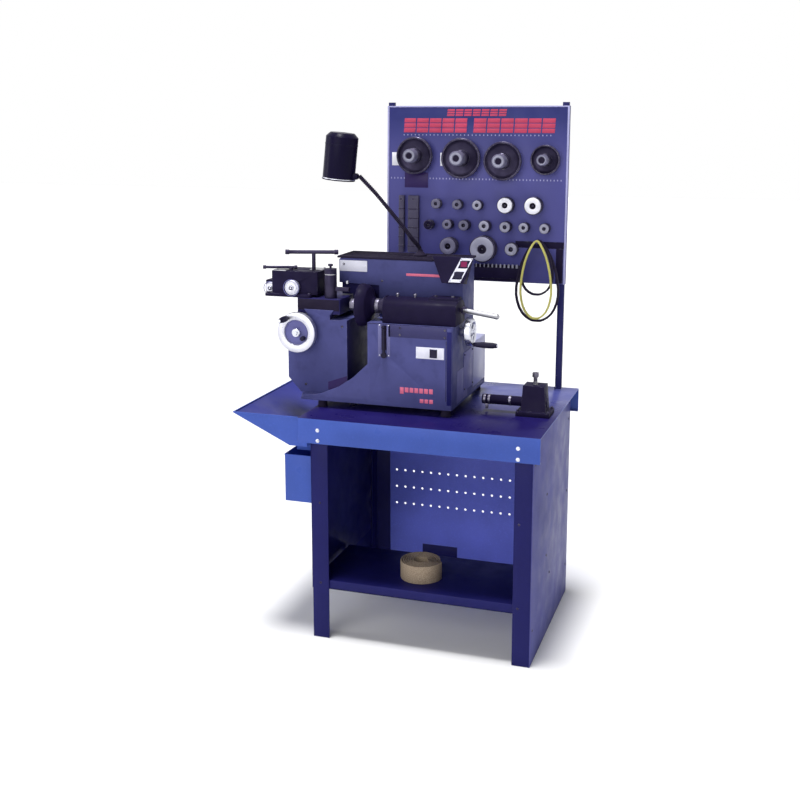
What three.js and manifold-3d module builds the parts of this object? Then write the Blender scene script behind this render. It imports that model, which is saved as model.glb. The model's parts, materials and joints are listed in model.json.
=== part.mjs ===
import * as THREE from 'three';
import { mergeVertices } from 'three/addons/utils/BufferGeometryUtils.js';
import Module from 'manifold-3d';

const wasm = await Module();
wasm.setup();

// Bench lathe for brake drums and discs, on its own steel bench with a chip chute and a tool board.
// Millimetres, +Z up. X runs along the bench and the spindle, Y from the operator to the back.
// The bench is drawn from the left panel, the front of the legs and the floor.
// The lathe is drawn from the left front corner of its base and the bench top.

// Clearances and facet counts shared by every piece
const fit = { seat: 0.3, running: 0.4, overrun: 2, weld: 0.0005 };
const facets = { fine: 36, round: 24, small: 16, few: 12, tiny: 10 };

// Driving sizes of the bench
const bench = {
  width: 784, depth: 680, height: 806, topSheet: 3, panelSheet: 2,
  overhangLeft: 36, overhangRight: 26, overhangFront: 26, overhangBack: 26,
  apronDepth: 87, apronSheet: 3, hemDepth: 14,
};
const leg = { flange: 60, wall: 5 };
const backPanel = {
  bottom: 44, topDrop: 113, holeRadius: 5, holeColumns: 14, holeRows: 3,
  holePitch: 35.8, rowPitch: 69, firstHole: 90, lowestRow: 285,
};
const shelf = { top: 216, lip: 33, depth: 343, sheet: 3 };
const chute = {
  reach: 247, sheet: 2, floorLeft: -69, floorRight: -4, floorDrop: 102,
  spoutFront: 41, spoutBack: 332, spoutDrop: 134,
};
const bucket = {
  width: 102, height: 169, front: 10, back: 365, bottomDrop: 315, sheet: 2,
  ledgeDrop: 4, ledgeWidth: 18, ledgeInset: 30,
};
const roll = {
  radius: 77, core: 22, height: 64, band: 5, turns: 6, stepsPerTurn: 20, centreX: 359, centreY: 140,
};

// Driving sizes of the tool board and what hangs on it
const board = {
  left: 46, insetRight: 39, bottom: 397, top: 1058, sheet: 3, hem: 16, footY: 690, leanDegrees: 1.3,
};
const post = { width: 24, depth: 14, top: 1071, footPlate: 4, footReach: 18 };
const peg = { radius: 4 };
const bellAdapter = { radius: 66, length: 47, stand: 4 };
const hungBar = { depth: 16, narrow: 21, wide: 43 };
const bitRack = { depth: 16 };
const beltPeg = { reach: 76 };
const belt = { width: 12, thickness: 5, loopDrop: 307 };

// Driving sizes of the boring bar holder that lies on the bench top
const barHolder = {
  left: 670, right: 788, front: 227, back: 323, base: 16, height: 106,
  towerInset: 14, towerTaper: 8, barRadius: 17, barLength: 128, barHeight: 42, screwHole: 7.5,
};
const holderScrew = { radius: 7, length: 60, headRadius: 12, headHeight: 16, bite: 18 };

// Driving sizes of the lathe's base, cabinet and column
const lathe = { left: -88, front: 128 };
const foot = { radius: 18, height: 26, insetLeft: 74, insetRight: 28, insetFront: 24, insetBack: 26 };
const base = {
  width: 558, depth: 470, plinth: 20, plinthLeft: 0, skirt: 14,
  cabinetLeft: 250, cabinetTop: 316, cabinetDepth: 288, wall: 9, cornerRadius: 10,
  flareTop: 168, flareLip: 7,
};
const column = {
  left: -57, right: 168, front: 25, back: 370, top: 314, taperTop: 98, taperFoot: -9,
  neck: 18, wayHeight: 16, wayTop: 112, wayFoot: 84, wayCentre: 62,
};
const headstock = {
  left: 99, front: 132, back: 288, top: 522, overhangBottom: 433, slopeBottom: 428, edge: 6,
};
const tray = { sheet: 4, rim: 3, rimWidth: 6, overhang: 5 };
const drive = {
  axisShare: 0.617, motorZ: 122, motorRadius: 56, motorLength: 118, shaftRadius: 8, wormZ: 420,
  pulleyWidth: 20, smallPulley: 28, largePulley: 44, beltThickness: 6, beltGap: 0.6,
  pulleyFront: 297, wormLength: 120,
};
const rearCover = {
  leftShare: 0.26, sheet: 3, bodyDepth: 176, bodyTop: 212, neckDepth: 42, neckHalf: 58, neckTop: 480,
};

// Driving sizes of the spindle line
const spindle = { y: 70, z: 366, arborRadius: 12.7, quillRadius: 30, noseRadius: 26 };
const carrier = {
  setIn: 53, overhang: 8, endWall: 12, front: 12, top: 402, lugWidth: 102, lugInset: 4, lugRise: 6,
};
const quill = { noseReach: 27, endGap: 14, nose: 12 };
const arbor = { reach: 110, endInset: 4 };
const bell = { reach: 88, length: 74, radius: 76 };
const arborNut = { radius: 21, length: 16, flats: 6 };
const leverPivot = { boss: 13, width: 14, reach: 138, gripRadius: 9, tipRadius: 10, drop: 16 };

// Driving sizes of the cross slide and its handwheel
const slide = { left: -21, right: 140, front: 30, back: 250, height: 54 };
const crossScrew = {
  x: -10, z: 268, radius: 9, back: 330, nutWidth: 22, nutLength: 40, nutFront: 120,
  travelBack: 45, travelFront: 18,
};
const crossWheel = { radius: 72, rimInner: 33, rim: 25, hubRadius: 15, hubLength: 27, gap: 15 };
const crank = {
  pinRadius: 4, gripRadius: 11, gripNeck: 7.5, gripLength: 70, angleDegrees: 122, radiusShare: 0.84,
};

// Driving sizes of the twin cutter, its handles and the tool post
const cutter = {
  plateLeft: -149, plateRight: 29, plateFront: 30, plateBack: 190, plate: 10,
  blockLeft: -127, blockRight: 48, blockFront: 50, blockBack: 170, blockHeight: 80,
  stepLeft: -160, stepFront: 70, stepBack: 150, stepHeight: 42,
  slotWidth: 26, slotCentre: -100,
};
const leftBar = {
  x: -137, lift: 15.3, dialRadius: 21, dialFront: 57.5, seatFront: 70, seatBack: 150, dialWell: 53,
};
const rightBar = {
  x: -44, lift: 23.3, dialRadius: 27, dialFront: 32, seatFront: 50, seatBack: 170, dialWell: 28,
};
const toolBar = { radius: 8, noseReach: 9, tailReach: 42, tipLength: 14, dialStep: 4 };
const leftTee = { x: -69, y: 90, rise: 9, armLeft: 101, armRight: 22, radius: 5, turnDegrees: 16 };
const rightTee = { x: 19, y: 90, rise: 67, armLeft: 101, armRight: 88, radius: 7, turnDegrees: 16 };
const teeStem = { radius: 7, socket: 20 };
const toolPost = {
  x: 94, y: 62, radius: 22, height: 105, knobRadius: 9, knobRise: 16, armReach: 70, arm: 14, armLift: 26,
};

// Driving sizes of the feed wheel, levers, switches and lamp
const feedWheel = {
  y: 100, z: 286, radius: 49, rim: 24, rimWidth: 15, hubRadius: 14, offset: 24, shaftRadius: 8, spokes: 3,
};
const feedGrip = { length: 84, radiusShare: 0.88 };
const feedLever = {
  placeShare: 0.208, bottom: 206, top: 306, width: 8, depth: 8, bossRadius: 10, knobRadius: 7,
};
const rocker = { placeShare: 0.786, z: 222, width: 26, height: 26, depth: 14, proud: 5 };
const pod = {
  topWidth: 147, bottomWidth: 52, topOverhang: 38, bottomOverhang: 16,
  bottom: 455, top: 542, bottomDepth: 50, topDepth: 8,
  windowWidth: 30, windowHeight: 28, windowDepth: 13, windowInset: 18.4, windowLean: 38.1,
  rockerDepth: 11, rockerProud: 3, rockerTaper: 3,
};
const podWindowShares = [0.3, 0.72];
const lamp = {
  placeShare: 0.597, y: 230, baseRadius: 24, baseHeight: 14, neckRadius: 6.5,
  shadeRadius: 59, shadeLength: 168, shadeWall: 2, shadeX: 62, shadeTop: 962, shadeTilt: 6,
  socketRadius: 22, socketLength: 58, bulbRadius: 27, bulbLength: 78, knuckle: 12,
};

// Places along the board, the cabinet and the headstock that follow the widths of bench and base
const cabinetWidth = base.width - base.cabinetLeft;
board.right = bench.width - board.insetRight;
drive.axisX = base.cabinetLeft + drive.axisShare * cabinetWidth;
rearCover.left = base.cabinetLeft + rearCover.leftShare * cabinetWidth;
feedLever.x = base.cabinetLeft + feedLever.placeShare * cabinetWidth;
rocker.x = base.cabinetLeft + rocker.placeShare * cabinetWidth;
lamp.x = headstock.left + lamp.placeShare * (base.width - headstock.left);
carrier.left = base.cabinetLeft + carrier.setIn;
carrier.right = base.width + carrier.overhang;
carrier.lugRight = carrier.right - carrier.lugInset;
carrier.lugLeft = carrier.lugRight - carrier.lugWidth;
quill.left = carrier.left - quill.noseReach;
quill.right = carrier.right - carrier.endWall - quill.endGap;
arbor.left = quill.left - arbor.reach;
arbor.right = quill.right - arbor.endInset;
bell.left = quill.left - bell.reach;
pod.topRight = base.width + pod.topOverhang;
pod.bottomRight = base.width + pod.bottomOverhang;
pod.topLeft = pod.topRight - pod.topWidth;
pod.bottomLeft = pod.bottomRight - pod.bottomWidth;

// Share tables: shapes as parts of the sizes that they follow
const flareShares = [[0, 0], [0.3, 0.13], [0.56, 0.34], [0.8, 0.64], [1, 1]];
const bellShares = [
  [1, 0.18], [1, 0.32], [0.88, 0.38], [0.76, 0.58], [0.68, 0.86], [0.54, 0.95], [0.36, 1], [0.22, 1],
  [0.22, 0.92], [0.36, 0.91], [0.48, 0.86], [0.57, 0.76], [0.64, 0.46], [0.64, 0.3],
  [-0.06, 0.3], [-0.06, 0.18],
];

// Solids from three.js geometry

function solid(geometry) {
  const bare = geometry.clone();
  bare.deleteAttribute('normal');
  bare.deleteAttribute('uv');
  const merged = mergeVertices(bare, fit.weld);
  const corners = merged.index.array;
  const kept = [];
  for (let i = 0; i < corners.length; i += 3) {
    const [a, b, c] = [corners[i], corners[i + 1], corners[i + 2]];
    if (a !== b && b !== c && c !== a) kept.push(a, b, c);
  }
  return new wasm.Manifold(new wasm.Mesh({
    numProp: 3,
    vertProperties: merged.attributes.position.array,
    triVerts: Uint32Array.from(kept),
  }));
}

function geometryOf(body) {
  const mesh = body.getMesh();
  const indexed = new THREE.BufferGeometry();
  indexed.setAttribute('position', new THREE.BufferAttribute(mesh.vertProperties, 3));
  indexed.setIndex(new THREE.BufferAttribute(mesh.triVerts, 1));
  const flat = indexed.toNonIndexed();
  flat.computeVertexNormals();
  return flat;
}

function joined(...bodies) {
  return bodies.reduce((whole, body) => whole.add(body));
}

function cut(body, ...tools) {
  return tools.reduce((whole, tool) => whole.subtract(tool), body);
}

function block(x0, x1, y0, y1, z0, z1) {
  const geometry = new THREE.BoxGeometry(x1 - x0, y1 - y0, z1 - z0);
  geometry.translate((x0 + x1) / 2, (y0 + y1) / 2, (z0 + z1) / 2);
  return solid(geometry);
}

const turnTo = {
  x: new THREE.Matrix4().makeRotationZ(-Math.PI / 2),
  y: new THREE.Matrix4(),
  z: new THREE.Matrix4().makeRotationX(Math.PI / 2),
};

// A revolved body: each outline point is [distance along the axis, radius]
function turned(axis, outline, centre, sides = facets.round) {
  const points = outline.map(([along, radius]) => new THREE.Vector2(radius, along));
  const geometry = new THREE.LatheGeometry(points, sides);
  geometry.applyMatrix4(turnTo[axis]);
  geometry.translate(centre.x, centre.y, centre.z);
  const body = solid(geometry);
  return body.volume() < 0 ? solid(flipped(geometry)) : body;
}

function flipped(geometry) {
  const corners = geometry.index.array;
  for (let i = 0; i < corners.length; i += 3) {
    [corners[i + 1], corners[i + 2]] = [corners[i + 2], corners[i + 1]];
  }
  return geometry;
}

function rod(axis, radius, from, to, centre, sides = facets.round) {
  return turned(axis, [[from, 0], [from, radius], [to, radius], [to, 0]], centre, sides);
}

const layTo = {
  x: new THREE.Matrix4().makeBasis(
    new THREE.Vector3(0, 1, 0), new THREE.Vector3(0, 0, 1), new THREE.Vector3(1, 0, 0)),
  y: new THREE.Matrix4().makeBasis(
    new THREE.Vector3(1, 0, 0), new THREE.Vector3(0, 0, 1), new THREE.Vector3(0, -1, 0)),
  z: new THREE.Matrix4(),
};

// A straight body with the given outline across the axis: (y, z) for x, (x, z) for y, (x, y) for z
function prism(axis, outline, from, to, holes = [], curveSegments = facets.small) {
  const shape = outline instanceof THREE.Shape ? outline : counterclockwise(outline);
  shape.holes = holes;
  const geometry = new THREE.ExtrudeGeometry(shape, { depth: to - from, bevelEnabled: false, curveSegments });
  geometry.applyMatrix4(layTo[axis]);
  const place = axis === 'y' ? to : from;
  geometry.translate(axis === 'x' ? place : 0, axis === 'y' ? place : 0, axis === 'z' ? place : 0);
  return solid(geometry);
}

function counterclockwise(outline) {
  const points = outline.map((p) => new THREE.Vector2(...p));
  return new THREE.Shape(THREE.ShapeUtils.isClockWise(points) ? points.reverse() : points);
}

function roundHole(x, y, radius, sides) {
  const path = new THREE.Path();
  for (let i = 0; i < sides; i += 1) {
    const angle = (2 * Math.PI * i) / sides;
    const point = [x + radius * Math.cos(angle), y + radius * Math.sin(angle)];
    if (i === 0) path.moveTo(...point);
    else path.lineTo(...point);
  }
  path.closePath();
  return path;
}

function roundedRectangle(x0, x1, y0, y1, radius) {
  const shape = new THREE.Shape();
  shape.moveTo(x0 + radius, y0);
  shape.lineTo(x1 - radius, y0);
  shape.absarc(x1 - radius, y0 + radius, radius, -Math.PI / 2, 0);
  shape.lineTo(x1, y1 - radius);
  shape.absarc(x1 - radius, y1 - radius, radius, 0, Math.PI / 2);
  shape.lineTo(x0 + radius, y1);
  shape.absarc(x0 + radius, y1 - radius, radius, Math.PI / 2, Math.PI);
  shape.lineTo(x0, y0 + radius);
  shape.absarc(x0 + radius, y0 + radius, radius, Math.PI, 1.5 * Math.PI);
  return shape;
}

// A round bar that follows a smooth curve
function bentRod(points, radius, steps, sides = facets.tiny) {
  const curve = new THREE.CatmullRomCurve3(points.map((p) => new THREE.Vector3(...p)));
  const section = new THREE.Shape();
  for (let i = 0; i < sides; i += 1) {
    const angle = (2 * Math.PI * i) / sides;
    const point = [radius * Math.cos(angle), radius * Math.sin(angle)];
    if (i === 0) section.moveTo(...point);
    else section.lineTo(...point);
  }
  section.closePath();
  return solid(new THREE.ExtrudeGeometry(section, { steps, extrudePath: curve, bevelEnabled: false }));
}

function radians(degrees) {
  return THREE.MathUtils.degToRad(degrees);
}

// Finishes
const finishes = {
  benchBlue: { color: 0x3f55ad, roughness: 0.45, metalness: 0.2 },
  benchPale: { color: 0x7b7fc0, roughness: 0.5, metalness: 0.2 },
  benchNavy: { color: 0x282a78, roughness: 0.5, metalness: 0.2 },
  slatePaint: { color: 0x55578a, roughness: 0.5, metalness: 0.2 },
  darkPaint: { color: 0x23233c, roughness: 0.55, metalness: 0.2 },
  blackSteel: { color: 0x16161d, roughness: 0.4, metalness: 0.7 },
  brightSteel: { color: 0xc9ccd4, roughness: 0.25, metalness: 0.95 },
  aluminium: { color: 0xd9dbe2, roughness: 0.35, metalness: 0.9 },
  rubber: { color: 0x15151a, roughness: 0.8, metalness: 0 },
  yellowRubber: { color: 0xcfae2c, roughness: 0.6, metalness: 0 },
  cork: { color: 0xb9a184, roughness: 0.85, metalness: 0 },
  lampBlack: { color: 0x2b2b30, roughness: 0.35, metalness: 0.4 },
  glass: { color: 0xf5f2ea, roughness: 0.2, metalness: 0 },
};

function piece(group, name, body, finish) {
  const mesh = new THREE.Mesh(geometryOf(body), new THREE.MeshStandardMaterial(finishes[finish]));
  mesh.name = name;
  group.add(mesh);
}

// Bench frame

const topLeft = -bench.overhangLeft;
const topRight = bench.width + bench.overhangRight;
const topFront = -bench.overhangFront;
const topBack = bench.depth + bench.overhangBack;
const underTop = bench.height - bench.topSheet;
const apronBottom = bench.height - bench.apronDepth;
const legLeft = bench.panelSheet + fit.seat;
const legRight = bench.width - bench.panelSheet - fit.seat;
const legBack = bench.depth - bench.panelSheet - fit.seat;
const legTop = underTop - fit.seat;

function benchTop() {
  const plate = block(topLeft, topRight, topFront, topBack, underTop, bench.height);
  const frontApron = block(
    topLeft, topRight, topFront, topFront + bench.apronSheet, apronBottom, bench.height);
  const backApron = block(topLeft, topRight, topBack - bench.apronSheet, topBack, apronBottom, bench.height);
  const hemFrom = topFront + bench.apronSheet - fit.running;
  const hemTop = apronBottom + bench.apronSheet;
  const frontHem = block(topLeft, topRight, topFront, topFront + bench.hemDepth, apronBottom, hemTop);
  const backHem = block(topLeft, topRight, topBack - bench.hemDepth, topBack, apronBottom, hemTop);
  const chuteNotch = block(
    topLeft - fit.overrun, bench.panelSheet, hemFrom, topBack - bench.apronSheet,
    apronBottom - fit.overrun, underTop - fit.seat);
  return cut(joined(plate, frontApron, backApron, frontHem, backHem), chuteNotch);
}

function angleLeg(x, y, towardX, towardY) {
  const [x0, x1] = towardX > 0 ? [x, x + leg.flange] : [x - leg.flange, x];
  const [y0, y1] = towardY > 0 ? [y, y + leg.flange] : [y - leg.flange, y];
  const across = block(x0, x1, towardY > 0 ? y : y - leg.wall, towardY > 0 ? y + leg.wall : y, 0, legTop);
  const along = block(towardX > 0 ? x : x - leg.wall, towardX > 0 ? x + leg.wall : x, y0, y1, 0, legTop);
  return joined(across, along);
}

const panelTop = bench.height - backPanel.topDrop;

function backPanelSheet() {
  const outline = [
    [legLeft, backPanel.bottom], [legRight, backPanel.bottom], [legRight, panelTop], [legLeft, panelTop],
  ];
  const holes = [];
  for (let row = 0; row < backPanel.holeRows; row += 1) {
    for (let column = 0; column < backPanel.holeColumns; column += 1) {
      const x = backPanel.firstHole + column * backPanel.holePitch;
      const z = backPanel.lowestRow + row * backPanel.rowPitch;
      holes.push(roundHole(x, z, backPanel.holeRadius, facets.few / 2));
    }
  }
  return prism('y', outline, bench.depth - bench.panelSheet, bench.depth, holes);
}

function bottomShelf() {
  const left = legLeft + leg.wall + fit.seat;
  const right = legRight - leg.wall - fit.seat;
  const front = leg.wall + fit.seat;
  const back = front + shelf.depth;
  const plate = block(left, right, front, back, shelf.top - shelf.sheet, shelf.top);
  const frontLip = block(left, right, front, front + shelf.sheet, shelf.top - shelf.lip, shelf.top);
  const backLip = block(left, right, back - shelf.sheet, back, shelf.top - shelf.lip, shelf.top);
  return joined(plate, frontLip, backLip);
}

const chuteFloor = bench.height - chute.floorDrop;
const bucketBottom = bench.height - bucket.bottomDrop;

function chipChute() {
  const rimLeft = topLeft - chute.reach;
  const front = topFront + bench.apronSheet + fit.seat;
  const back = topBack - bench.apronSheet - fit.seat;
  const innerFloor = chuteFloor + chute.sheet;
  const spoutBottom = bench.height - chute.spoutDrop;
  const topUnderBench = underTop - fit.seat;
  const outer = [
    [rimLeft, bench.height], [rimLeft, bench.height - chute.sheet], [chute.floorLeft, chuteFloor],
    [chute.floorRight, chuteFloor], [chute.floorRight, topUnderBench],
    [topLeft - fit.seat, topUnderBench], [topLeft - fit.seat, bench.height],
  ];
  const inner = [
    [rimLeft + chute.sheet, bench.height + fit.overrun], [rimLeft + chute.sheet, bench.height - chute.sheet],
    [chute.floorLeft, innerFloor], [chute.floorRight - chute.sheet, innerFloor],
    [chute.floorRight - chute.sheet, bench.height + fit.overrun],
  ];
  const hollow = prism('y', inner, front + chute.sheet, back - chute.sheet);
  const trough = cut(prism('y', outer, front, back), hollow);
  const spout = block(
    chute.floorLeft, chute.floorRight, chute.spoutFront, chute.spoutBack, spoutBottom, innerFloor);
  const mouth = block(
    chute.floorLeft + chute.sheet, chute.floorRight - chute.sheet, chute.spoutFront + chute.sheet,
    chute.spoutBack - chute.sheet, spoutBottom - fit.overrun, innerFloor + fit.overrun);
  return cut(joined(trough, spout), mouth);
}

function chipBucket() {
  const right = -fit.seat;
  const left = right - bucket.width;
  const top = bucketBottom + bucket.height;
  const outer = block(left, right, bucket.front, bucket.back, bucketBottom, top);
  const inner = block(
    left + bucket.sheet, right - bucket.sheet, bucket.front + bucket.sheet, bucket.back - bucket.sheet,
    bucketBottom + bucket.sheet, top + fit.overrun);
  return cut(outer, inner);
}

function leftPanel() {
  const panel = block(0, bench.panelSheet, 0, bench.depth, shelf.top - shelf.lip, legTop);
  const ledgeTop = bucketBottom - fit.seat;
  const ledges = [bucket.front + bucket.ledgeInset, bucket.back - bucket.ledgeInset - bucket.ledgeWidth]
    .map((y) => block(
      -bucket.width, bench.panelSheet, y, y + bucket.ledgeWidth, ledgeTop - bucket.ledgeDrop, ledgeTop));
  return joined(panel, ...ledges);
}

// Rolled silencer band: one unbroken spiral that stands on the shelf
function rolledBand() {
  const outer = [];
  const inner = [];
  const steps = roll.turns * roll.stepsPerTurn;
  const pitch = (roll.radius - roll.core - roll.band) / roll.turns;
  for (let i = 0; i <= steps; i += 1) {
    const angle = (2 * Math.PI * i) / roll.stepsPerTurn;
    const radius = roll.core + (pitch * i) / roll.stepsPerTurn;
    const direction = [Math.cos(angle), Math.sin(angle)];
    outer.push(direction.map((d) => d * (radius + roll.band)));
    inner.push(direction.map((d) => d * radius));
  }
  reportGap(outer, inner);
  const outline = [...outer, ...inner.reverse()].map(([x, y]) => [x + roll.centreX, y + roll.centreY]);
  const from = shelf.top + fit.seat;
  return prism('z', outline, from, from + roll.height);
}

// Measures the least gap between one turn's outer face and the next turn's inner face
function reportGap(outer, inner) {
  let least = Infinity;
  outer.forEach(([x, y], i) => {
    for (let j = i + roll.stepsPerTurn / 2; j + 1 < inner.length; j += 1) {
      const edge = new THREE.Line3(new THREE.Vector3(...inner[j], 0), new THREE.Vector3(...inner[j + 1], 0));
      const nearest = edge.closestPointToPoint(new THREE.Vector3(x, y, 0), true, new THREE.Vector3());
      least = Math.min(least, Math.hypot(x - nearest.x, y - nearest.y));
    }
  });
  console.log(`Least gap of the rolled band to itself: ${least.toFixed(2)} mm`);
}

const benchGroup = new THREE.Group();
piece(benchGroup, 'bench_top', benchTop(), 'benchBlue');
piece(benchGroup, 'chip_chute', chipChute(), 'benchBlue');
piece(benchGroup, 'chip_bucket', chipBucket(), 'benchBlue');
piece(benchGroup, 'leg_front_left', angleLeg(legLeft, 0, 1, 1), 'benchNavy');
piece(benchGroup, 'leg_front_right', angleLeg(legRight, 0, -1, 1), 'benchNavy');
piece(benchGroup, 'leg_rear_left', angleLeg(legLeft, legBack, 1, -1), 'benchNavy');
piece(benchGroup, 'leg_rear_right', angleLeg(legRight, legBack, -1, -1), 'benchNavy');
piece(benchGroup, 'side_panel_left', leftPanel(), 'benchNavy');
piece(benchGroup, 'side_panel_right',
  block(bench.width - bench.panelSheet, bench.width, 0, bench.depth, 0, legTop), 'benchPale');
piece(benchGroup, 'back_panel', backPanelSheet(), 'benchPale');
piece(benchGroup, 'bottom_shelf', bottomShelf(), 'benchNavy');
piece(benchGroup, 'silencer_band_roll', rolledBand(), 'cork');

// Tool board, drawn flat and leaned back on its two posts. Its own Z runs up the board from the bench top.

const lean = radians(board.leanDegrees);
const boardFrame = new THREE.Matrix4()
  .makeTranslation(0, board.footY, bench.height)
  .multiply(new THREE.Matrix4().makeRotationX(-lean));

function leaned(body) {
  return body.transform(boardFrame.elements);
}

function boardPost(x) {
  const back = fit.seat + post.depth;
  const foot = block(
    x, x + post.width, board.footY - post.footReach, board.footY + back,
    bench.height + fit.seat, bench.height + fit.seat + post.footPlate);
  const bar = leaned(block(x, x + post.width, fit.seat, back, post.footPlate - fit.running, post.top));
  return joined(bar, foot);
}

function boardSheet() {
  const sheet = block(board.left, board.right, -board.sheet, 0, board.bottom, board.top);
  const hems = [
    block(board.left - board.sheet, board.left, -board.sheet, board.hem, board.bottom, board.top),
    block(board.right, board.right + board.sheet, -board.sheet, board.hem, board.bottom, board.top),
  ];
  return joined(sheet, ...hems);
}

function boardPeg(x, z, reach) {
  return rod('y', peg.radius, -board.sheet - reach, -board.sheet + fit.running, { x, y: 0, z }, facets.tiny);
}

// A clamp, cone or spacer pushed onto its peg: outline shares of its length and radius
function hungPiece(x, z, radius, length, shares, sides) {
  const outline = shares.map(
    ([along, across]) => [-board.sheet - bellAdapter.stand - along * length, across * radius]);
  const collar = rod(
    'y', peg.radius + fit.overrun, -board.sheet - length * shares[shares.length - 1][0] - bellAdapter.stand,
    -board.sheet, { x, y: 0, z }, facets.tiny);
  const core = [[outline[0][0], 0], ...outline, [outline[outline.length - 1][0], 0]];
  return joined(turned('y', core, { x, y: 0, z }, sides), collar);
}

const hungBellShares = [
  [0, 0.3], [0, 0.62], [0.25, 0.9], [0.45, 1], [0.62, 1], [0.62, 0.9], [0.45, 0.8], [0.42, 0.36], [1, 0.36],
];
const hungConeShares = [[0, 1], [0.25, 1], [0.85, 0.55], [1, 0.5]];
const hungRingShares = [[0, 1], [1, 1]];

// Places on the board as shares of its width and height, then shares of the bell clamp's radius and length
const bellPlaceShares = [[0.164, 0.696], [0.426, 0.69], [0.657, 0.686], [0.888, 0.689]];
const conePlaceShares = [
  [0.679, 0.443, 0.47, 0.88], [0.831, 0.443, 0.51, 0.92], [0.366, 0.2, 0.51, 0.92], [0.56, 0.19, 0.76, 1.04],
  [0.714, 0.193, 0.38, 0.63],
];
const ringPlaceShares = [
  [0.29, 0.442, 0.29, 0.63], [0.411, 0.44, 0.29, 0.71], [0.523, 0.439, 0.29, 0.71], [0.249, 0.32, 0.28, 0.71],
  [0.358, 0.325, 0.29, 0.83], [0.452, 0.323, 0.31, 0.83], [0.567, 0.322, 0.32, 0.88],
  [0.682, 0.32, 0.32, 0.88], [0.783, 0.319, 0.29, 0.83], [0.895, 0.317, 0.29, 0.83],
];
const barPlaceShares = [0.084, 0.153];
const barEndShares = [0.152, 0.485];
const rackShares = { left: 0.502, right: 0.757, bottom: 0.021, top: 0.104 };
const beltPegShares = [0.866, 0.24];

function boardX(share) {
  return board.left + share * (board.right - board.left);
}

function boardZ(share) {
  return board.bottom + share * (board.top - board.bottom);
}

function toolBoard() {
  const front = -board.sheet + fit.running;
  const { radius, length } = bellAdapter;
  const bells = bellPlaceShares.map(([x, z]) =>
    hungPiece(boardX(x), boardZ(z), radius, length, hungBellShares, facets.round));
  const cones = conePlaceShares.map(([x, z, wide, long]) =>
    hungPiece(boardX(x), boardZ(z), wide * radius, long * length, hungConeShares, facets.small));
  const rings = ringPlaceShares.map(([x, z, wide, long]) =>
    hungPiece(boardX(x), boardZ(z), wide * radius, long * length, hungRingShares, facets.few));
  const bars = [hungBar.narrow, hungBar.wide].map((width, i) => block(
    boardX(barPlaceShares[i]) - width / 2, boardX(barPlaceShares[i]) + width / 2,
    -board.sheet - hungBar.depth, front,
    boardZ(barEndShares[0]), boardZ(barEndShares[1])));
  const rack = block(
    boardX(rackShares.left), boardX(rackShares.right), -board.sheet - bitRack.depth, front,
    boardZ(rackShares.bottom), boardZ(rackShares.top));
  const beltHook = boardPeg(beltPeg.x, beltPeg.z, beltPeg.reach);
  return leaned(joined(boardSheet(), ...bells, ...cones, ...rings, ...bars, rack, beltHook));
}

// Rubber silencer belts that hang in loops from one peg, one in front of the other
beltPeg.x = boardX(beltPegShares[0]);
beltPeg.z = boardZ(beltPegShares[1]);
const beltLoops = [
  { name: 'silencer_belt_yellow', finish: 'yellowRubber', layer: 0, widthShare: 0.39, dropShare: 0.96 },
  { name: 'silencer_belt_black_small', finish: 'rubber', layer: 1, widthShare: 0.4, dropShare: 0.67 },
  { name: 'silencer_belt_black_large', finish: 'rubber', layer: 2, widthShare: 0.53, dropShare: 1 },
];
const loopShares = [[0.09, 0.02], [0.32, 0.2], [0.47, 0.46], [0.5, 0.7], [0.36, 0.9], [0.14, 0.99]];

function hangingLoop(loop) {
  const pegTip = new THREE.Vector3(beltPeg.x, -board.sheet - beltPeg.reach, beltPeg.z);
  const pegPoint = pegTip.applyMatrix4(boardFrame);
  const front = pegPoint.y + fit.seat + loop.layer * (belt.width + fit.seat);
  const width = loop.widthShare * belt.loopDrop;
  const drop = loop.dropShare * belt.loopDrop;
  const pegAxis = pegPoint.z - (front - pegPoint.y) * Math.tan(lean);
  const top = pegAxis + peg.radius / Math.cos(lean) + fit.seat + belt.thickness;
  const right = loopShares.map(([across, down]) => [across * width, -down * drop]);
  const left = [...right].reverse().map(([x, z]) => [-x, z]);
  const centreLine = [[0, 0], ...right, [0, -drop], ...left];
  const stations = centreLine.map(([x, z]) => new THREE.Vector3(x, 0, z));
  const curve = new THREE.CatmullRomCurve3(stations, true, 'centripetal');
  const samples = curve.getPoints(facets.fine).slice(0, -1);
  const outline = samples.map((p) => [pegPoint.x + p.x, top + p.z]);
  const hole = new THREE.Path(outline.map(([x, z], i) => {
    const next = outline[(i + 1) % outline.length];
    const last = outline[(i + outline.length - 1) % outline.length];
    const normal = new THREE.Vector2(next[1] - last[1], last[0] - next[0]).normalize();
    return new THREE.Vector2(x, z).addScaledVector(normal, belt.thickness);
  }));
  return prism('y', outline, front, front + belt.width, [hole]);
}

piece(benchGroup, 'board_post_left', boardPost(board.left), 'benchNavy');
piece(benchGroup, 'board_post_right', boardPost(board.right - post.width), 'benchNavy');
piece(benchGroup, 'tool_board', toolBoard(), 'benchPale');
beltLoops.forEach((loop) => piece(benchGroup, loop.name, hangingLoop(loop), loop.finish));

// Boring bar holder that lies on the bench top at the right

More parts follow.
